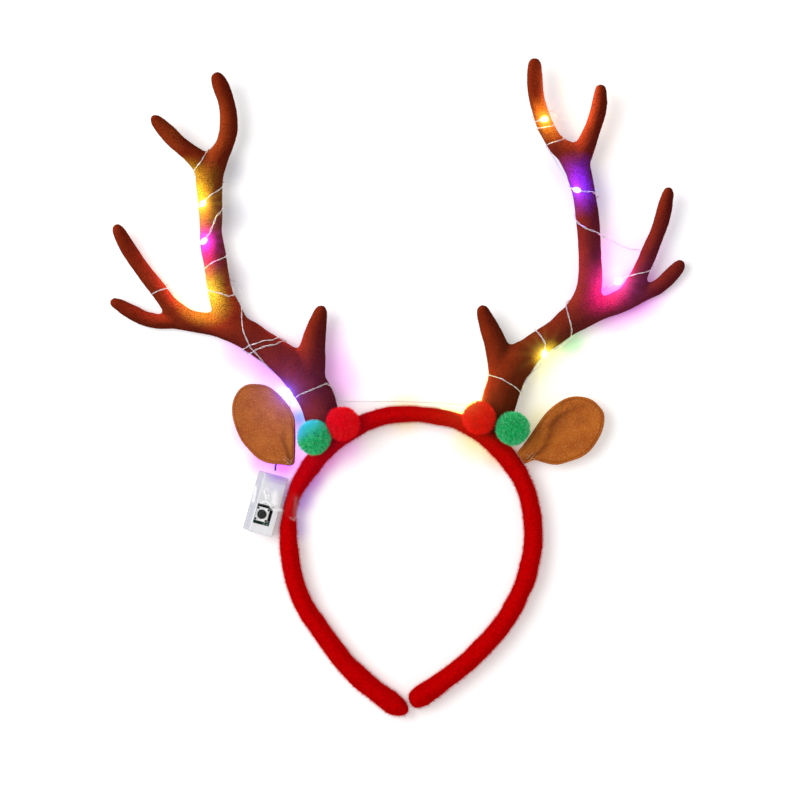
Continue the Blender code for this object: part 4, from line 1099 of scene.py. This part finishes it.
def make_light_wire(trees):
    """Two fine strands twisted together, with lit beads on them and a dark sleeve on the lead."""
    path, drops = wire_path(trees)
    line, places, marks = resampled(path, LINE_STEP * MM)
    along, across, over = frames_along(line)
    turn = 2 * math.pi * places / (TWIST_PITCH * MM)
    # The gap between the strands drifts along the wire, as on wire twisted by hand.
    apart = STRAND_APART * MM * (0.8 + 0.25 * np.sin(places / (23 * MM)))
    points, faces = [], []
    for side in (1, -1):
        offset = (across * np.cos(turn)[:, None] + over * np.sin(turn)[:, None]) * (side * apart)[:, None]
        strand(line + offset, STRAND_RADIUS * MM, STRAND_SIDES, points, faces)
    wire = built("light_wire_strands", (points, faces), WIRE, "silver_wire", replaces=["light_wire"])
    spots = [int(np.searchsorted(places, marks[at]).clip(0, len(line) - 1)) for at in drops]
    shells = piece("light_drops", lit_beads(line[spots], along[spots], trees), None, "silver_wire")
    points, faces = [], []
    strand(line[:int(LEAD_SLEEVE_LENGTH / LINE_STEP)], LEAD_SLEEVE_RADIUS * MM, 8, points, faces)
    sleeve = built("lead_sleeve", (points, faces), SLEEVE, "silver_wire")


def lit_beads(middles, ways, trees):
    """The mesh of the lit beads, each along the wire at its place, and a small lamp beside each bead."""
    beads = bmesh.new()
    mesh = bpy.data.meshes.new("light_drops")
    size = Matrix.Diagonal((DROP_RADIUS * MM, DROP_RADIUS * MM, DROP_HALF_LENGTH * MM, 1.0))
    for k, (name, colour, power) in enumerate(LIGHTS):
        middle = Vector(middles[k])
        turned = Vector(ways[k]).to_track_quat("Z", "Y").to_matrix().to_4x4()
        made = bmesh.ops.create_uvsphere(beads, u_segments=20, v_segments=12, radius=1.0,
                                         matrix=Matrix.Translation(middle) @ turned @ size)["verts"]
        for face in {f for v in made for f in v.link_faces}:
            face.material_index = k
            face.smooth = True
        mesh.materials.append(lit_drop(name, colour))
        place_lamp(name, middle, colour, power, trees)
    beads.to_mesh(mesh)
    beads.free()
    return mesh


def place_lamp(name, middle, colour, power, trees):
    """Puts a small lamp just outside the bead, away from the antler."""
    found = nearest_hits(trees[:2], middle, reach_mm=20)
    away = (middle - found[0][0]).normalized() if found else Vector((0, 0, 1))
    lamp = bpy.data.lights.new("glow_" + name, "POINT")
    lamp.energy = power
    lamp.color = linear(colour)[:3]
    lamp.shadow_soft_size = 0.6 * MM
    new_object("glow_" + name, lamp).location = middle + away * LAMP_OUT * MM


# Battery case

def case_axes():
    """Directions along, across and out of the front of the battery case."""
    up = Vector((0, 0, 1))
    along = Vector((math.sin(CASE_LEAN), math.cos(CASE_LEAN), 0))
    flat_across = Vector((math.cos(CASE_LEAN), -math.sin(CASE_LEAN), 0))
    across = flat_across * math.cos(CASE_ROLL) - up * math.sin(CASE_ROLL)
    out = flat_across * math.sin(CASE_ROLL) + up * math.cos(CASE_ROLL)
    return along, across, out


def in_case(u, v, n):
    """A point of the battery case's frame, in metres."""
    along, across, out = case_axes()
    return (Vector(CASE_MIDDLE) + along * u + across * v + out * n) * MM


def case_matrix(u, v, n, axis):
    """A frame at a point of the case whose Z runs along one of the case's axes."""
    along, across, out = case_axes()
    ways = {"u": (across, out, along), "n": (along, across, out)}[axis]
    turned = Matrix.Identity(4)
    for k, way in enumerate(ways):
        for row in range(3):
            turned[row][k] = way[row]
    turned.translation = in_case(u, v, n)
    return turned


def turned_part(profile, steps, matrix):
    """A closed turned solid from (radius, height) rows in millimetres, placed by a matrix."""
    points, faces = [], []
    for radius, height in profile:
        for s in range(steps):
            a = 2 * math.pi * s / steps
            points.append(matrix @ (Vector((radius * math.cos(a), radius * math.sin(a), height)) * MM))
    for k in range(len(profile) - 1):
        for s in range(steps):
            n = (s + 1) % steps
            faces.append((k * steps + s, k * steps + n, (k + 1) * steps + n, (k + 1) * steps + s))
    faces.append(tuple(range(steps)))
    faces.append(tuple((len(profile) - 1) * steps + s for s in range(steps)))
    return points, faces


def joined(parts):
    """Several shapes' points and faces as one shape."""
    points, faces = [], []
    for more, quads in parts:
        faces += [tuple(i + len(points) for i in f) for f in quads]
        points += more
    return points, faces


def rounded_block(u, v, n, bevel):
    """A block of the case's frame with its edges rounded, in millimetres."""
    shape = bmesh.new()
    corners = [shape.verts.new(Vector((a, b, c))) for a in u for b in v for c in n]
    for face in [(0, 1, 3, 2), (4, 6, 7, 5), (0, 4, 5, 1), (2, 3, 7, 6), (0, 2, 6, 4), (1, 5, 7, 3)]:
        shape.faces.new([corners[i] for i in face])
    bmesh.ops.bevel(shape, geom=list(shape.edges), offset=bevel, segments=2, profile=0.5, affect="EDGES")
    shape.verts.ensure_lookup_table()
    points = [in_case(*vert.co) for vert in shape.verts]
    faces = [tuple(vert.index for vert in face.verts) for face in shape.faces]
    shape.free()
    return points, faces


def blocks(rows):
    """Rounded blocks as one shape."""
    return joined([rounded_block(*row) for row in rows])


def make_case():
    """The frosted case with its ribs, and inside it the cells, the board, its pads and its small parts."""
    shell = welded_copy("battery_case", "battery_case_shell")
    shape = bmesh.new()
    shape.from_mesh(shell.data)
    bmesh.ops.dissolve_limit(shape, angle_limit=math.radians(3), verts=shape.verts, edges=shape.edges)
    shape.to_mesh(shell.data)
    shape.free()
    soft = shell.modifiers.new("soft edges", "BEVEL")
    soft.width = 0.22 * MM
    soft.segments = 2
    soft.angle_limit = math.radians(25)
    baked(shell)
    piece(shell.name, shell, CLEAR_SHELL, "clear_plastic", replaces=["battery_case"])
    built("case_ribs", blocks(RIBS), CLEAR_SHELL, "clear_plastic")
    for k, start in enumerate(CELL_STARTS):
        cell = turned_part(CELL_PROFILE, ROUND_STEPS, case_matrix(start, 0, 0, "u"))
        built(f"cell_{k + 1}_steel", cell, STEEL, "cell_steel", replaces=[f"cell_{k + 1}"])
    built("circuit_board_green", blocks([BOARD_BLOCK]), BOARD, "board_green", replaces=["circuit_board"])
    built("board_pads", blocks(PADS), STEEL, "cell_steel")
    built("board_chips", blocks(CHIPS), BLACK, "button_black")


def cover_plate():
    """The switch's square plate with its round hole: rings of points at its back and its front."""
    u, v = SWITCH_MIDDLE
    wide = SWITCH_HALF + PLATE_PAST_BLOCK
    hole = BUTTON_RADIUS + BUTTON_PLAY
    points, faces = [], []
    for height in (SWITCH_TOP - PLATE_THICK, SWITCH_TOP):
        for step in range(PLATE_STEPS):
            turn = 2 * math.pi * step / PLATE_STEPS
            c, d = math.cos(turn), math.sin(turn)
            reach = min(wide / max(abs(c), abs(d)), wide * PLATE_CORNER)
            points.append(in_case(u + hole * c, v + hole * d, height))
            points.append(in_case(u + reach * c, v + reach * d, height))
    top = 2 * PLATE_STEPS
    for step in range(PLATE_STEPS):
        a, b = 2 * step, 2 * step + 1
        d, c = 2 * ((step + 1) % PLATE_STEPS), 2 * ((step + 1) % PLATE_STEPS) + 1
        faces += [(a, d, c, b), (top + a, top + b, top + c, top + d), (b, c, top + c, top + b),
                  (d, a, top + a, top + d)]
    return points, faces


def make_switch():
    """A push switch: black body, bright plate with four rivets, and a round black button."""
    u, v = SWITCH_MIDDLE
    block = rounded_block((u - SWITCH_HALF, u + SWITCH_HALF), (v - SWITCH_HALF, v + SWITCH_HALF),
                          (BOARD_TOP + BLOCK_ABOVE_BOARD, SWITCH_TOP - BLOCK_BELOW_TOP), 0.12)
    built("switch_block", block, BLACK, "button_black", replaces=["switch_body"])
    built("switch_cover", cover_plate(), PLATE, "switch_plate")
    corners = [(u + a * RIVET_OFFSET, v + b * RIVET_OFFSET) for a in (1, -1) for b in (1, -1)]
    rivets = joined([turned_part(RIVET_DOME, RIVET_STEPS, case_matrix(*spot, SWITCH_TOP, "n"))
                     for spot in corners])
    built("switch_rivets", rivets, BLACK, "button_black")
    cap = turned_part(BUTTON_PROFILE, ROUND_STEPS, case_matrix(u, v, BUTTON_FOOT, "n"))
    built("button_cap", cap, BLACK, "button_black", body="push_button", replaces=["switch_button"])


# Wrinkles and edges of the tape seen from the front, painted white as highlights, and two broader painted
# highlights where it lies over the case's face and side: x, y, x, y, width in millimetres, how white.
WRINKLES_AND_GLINTS = [
    (-62.4, -47.8, -61.2, -52.1, 0.4, 0.9), (-60.6, -47.3, -60.2, -52.0, 0.35, 0.8),
    (-64.2, -54.1, -61.5, -53.3, 0.35, 0.9), (-61.5, -53.3, -60.2, -54.1, 0.35, 0.9),
    (-60.2, -54.1, -57.9, -57.6, 0.35, 0.9), (-57.9, -57.6, -54.4, -57.2, 0.35, 0.8),
    (-57.3, -50.0, -57.5, -54.0, 1.6, 0.7), (-66.2, -47.3, -68.0, -56.0, 0.9, 0.6),
    (-55.9, -64.5, -52.8, -65.8, 0.35, 0.55), (-52.8, -65.8, -48.7, -66.3, 0.35, 0.6),
    (-48.7, -66.3, -47.0, -64.6, 0.35, 0.5), (-47.4, -51.9, -47.9, -59.5, 0.8, 0.04),
    (-49.7, -61.1, -48.7, -62.8, 0.35, 0.1), (-48.7, -62.8, -47.4, -60.6, 0.35, 0.1),
]
WRINKLE_HEIGHT = 0.2
TAPE_FRONT = 6


def make_tape():
    """The tape loop, with short wrinkles that stand a little proud, and white highlights painted along them
    and its edges.
    """
    tape = welded_copy("tape_wrap", "tape_film")
    subdivided(tape, 4, "SIMPLE")
    mesh = tape.data
    spots, ways = points_of(mesh), normals_of(mesh)
    crease_glint = marked_lines(spots, WRINKLES_AND_GLINTS) * (spots[:, 2] > TAPE_FRONT * MM)
    set_points(mesh, spots + ways * (crease_glint * WRINKLE_HEIGHT * MM)[:, None])
    keep_attribute(mesh, "wrinkle_glint", crease_glint)
    shaded_smooth(mesh)
    piece(tape.name, tape, TAPE, "clear_tape", replaces=["tape_wrap"])


# Stage

def make_stage():
    """White paper with the drops' coloured glow and a few grey shadows painted on, a window on the left, and a
    camera straight above.
    """
    mesh = bpy.data.meshes.new("paper")
    corners = [(x * PAPER_HALF, y * PAPER_HALF, 0) for x, y in ((-1, -1), (1, -1), (1, 1), (-1, 1))]
    mesh.from_pydata(corners, [], [(0, 1, 2, 3)])
    new_object("paper", mesh)
    made, tree, shader, place = new_material("white_paper", 0.9)
    shader.inputs["Specular IOR Level"].default_value = 0.1
    # Painted light and shadow: the drops' coloured glow and grey shadows tinted into the paper's colour.
    colour = with_painted_glow_and_shade(tree, place, "#F4F4F4", PAPER_GLOWS_AND_SHADOWS, "MULTIPLY")
    tree.links.new(colour, shader.inputs["Base Color"])
    tree.links.new(colour, shader.inputs["Emission Color"])
    shader.inputs["Emission Strength"].default_value = 0.3
    mesh.materials.append(made)

    world = bpy.data.worlds.new("white_room")
    world.use_nodes = True
    sky = world.node_tree.nodes["Background"].inputs
    sky["Color"].default_value = linear("#FFFFFF")
    sky["Strength"].default_value = ROOM_LIGHT
    bpy.context.scene.world = world
    key = bpy.data.lights.new("window", "AREA")
    key.shape = "DISK"
    key.size = WINDOW_SIZE
    key.energy = WINDOW_POWER
    window = new_object("window", key)
    window.location = WINDOW_PLACE
    window.rotation_euler = (Vector((0, 0, 0)) - window.location).to_track_quat("-Z", "Y").to_euler()

    lens = bpy.data.cameras.new("photo_camera")
    lens.lens = FILM_WIDTH * (VIEW_HEIGHT - SHARP_HEIGHT) / (PHOTO_SIDE * PIXEL)
    lens.clip_start = 0.05
    camera = new_object("photo_camera", lens)
    camera.location = (*VIEW_MIDDLE, VIEW_HEIGHT)
    bpy.context.scene.camera = camera
    bpy.context.scene.view_settings.view_transform = "Standard"
    make_bloom()


def make_bloom():
    """The lens's bloom and short rays round the lit drops, which are far brighter than the paper."""
    scene = bpy.context.scene
    scene.use_nodes = True
    tree = scene.node_tree
    tree.nodes.clear()
    seen = add_node(tree, "CompositorNodeRLayers").outputs["Image"]
    bloom = add_node(tree, "CompositorNodeGlare", {
        "Image": seen, "Threshold": 3.0, "Strength": 0.85, "Size": 0.3, "Saturation": 1.0,
    }, glare_type="BLOOM")
    rays = add_node(tree, "CompositorNodeGlare", {
        "Image": bloom.outputs["Image"], "Threshold": 9.0, "Strength": 0.07, "Streaks": 12, "Iterations": 3,
        "Fade": 0.78, "Color Modulation": 0.0,
    }, glare_type="STREAKS")
    add_node(tree, "CompositorNodeComposite", {"Image": rays.outputs["Image"]})


# The scene, from Blender's first one to the finished object

for obj in list(bpy.data.objects):
    if obj.name in ("Cube", "Light", "Camera"):
        bpy.data.objects.remove(obj, do_unlink=True)

PILE = pile_tree()
VELVET = flocked_velvet()
VELVET_FIBRE = velvet_fibre()
RED_PLUSH = plush("dyed_plush_red", "#A80002", "#CA0204", "#DC140C", 0.8)
RED_YARN = plush("pompom_yarn_red", "#F60406", "#FF080C", "#FF4840", 1.2)
GREEN_YARN = plush("pompom_yarn_green", "#14A85E", "#36EE98", "#A0F6CA", 1.3, POMPOM_GLOWS)
FELT = felt()
THREAD = sewing_thread()
WIRE = tinned_wire()
CLEAR_SHELL = clear_shell()
TAPE = clear_tape()
STEEL = stamped_steel("nickel_plated_steel", "#C8C8CA", "#E6E6E8", 0.3, 0.8)
PLATE = stamped_steel("tinned_switch_plate", "#F4F4F4", "#FFFFFF", 0.45, 0.05)
BOARD = moulded_plastic("green_solder_mask", "#0E5E34", "#1E8A4E", 0.35)
BLACK = moulded_plastic("black_nylon", "#0A0A0B", "#1A1A1C", 0.4)
SLEEVE = moulded_plastic("dark_lead_sleeve", "#14143C", "#24245A", 0.5)

make_stage()
antlers = [make_antler("antler_left", 1), make_antler("antler_right", 2)]
band = make_band()
make_pompom("pompom_left_green", GREEN_YARN, "pompom_green", 11)
make_pompom("pompom_left_red", RED_YARN, "pompom_red", 12)
make_pompom("pompom_right_red", RED_YARN, "pompom_red", 13)
make_pompom("pompom_right_green", GREEN_YARN, "pompom_green", 14)
make_ear("ear_left", 21)
make_ear("ear_right", 22)
make_case()
make_switch()
make_tape()
solid_names = ["battery_case", "ear_left", "ear_right", "pompom_left_green", "pompom_left_red",
               "pompom_right_red", "pompom_right_green"]
make_light_wire([surface_tree(o) for o in [*antlers, band, *[NODES[n] for n in solid_names]]])
LIGHT = string_light()
for soft, strength, fleck_size in ((VELVET, 0.9, 0.55), (VELVET_FIBRE, 0.9, 0.55), (RED_YARN, 0.08, 0.9),
                                   (GREEN_YARN, 0.2, 0.9), (FELT, 0.06, 0.7), (RED_PLUSH, 0.1, 0.9)):
    soak(soft, LIGHT, strength, fleck_size)
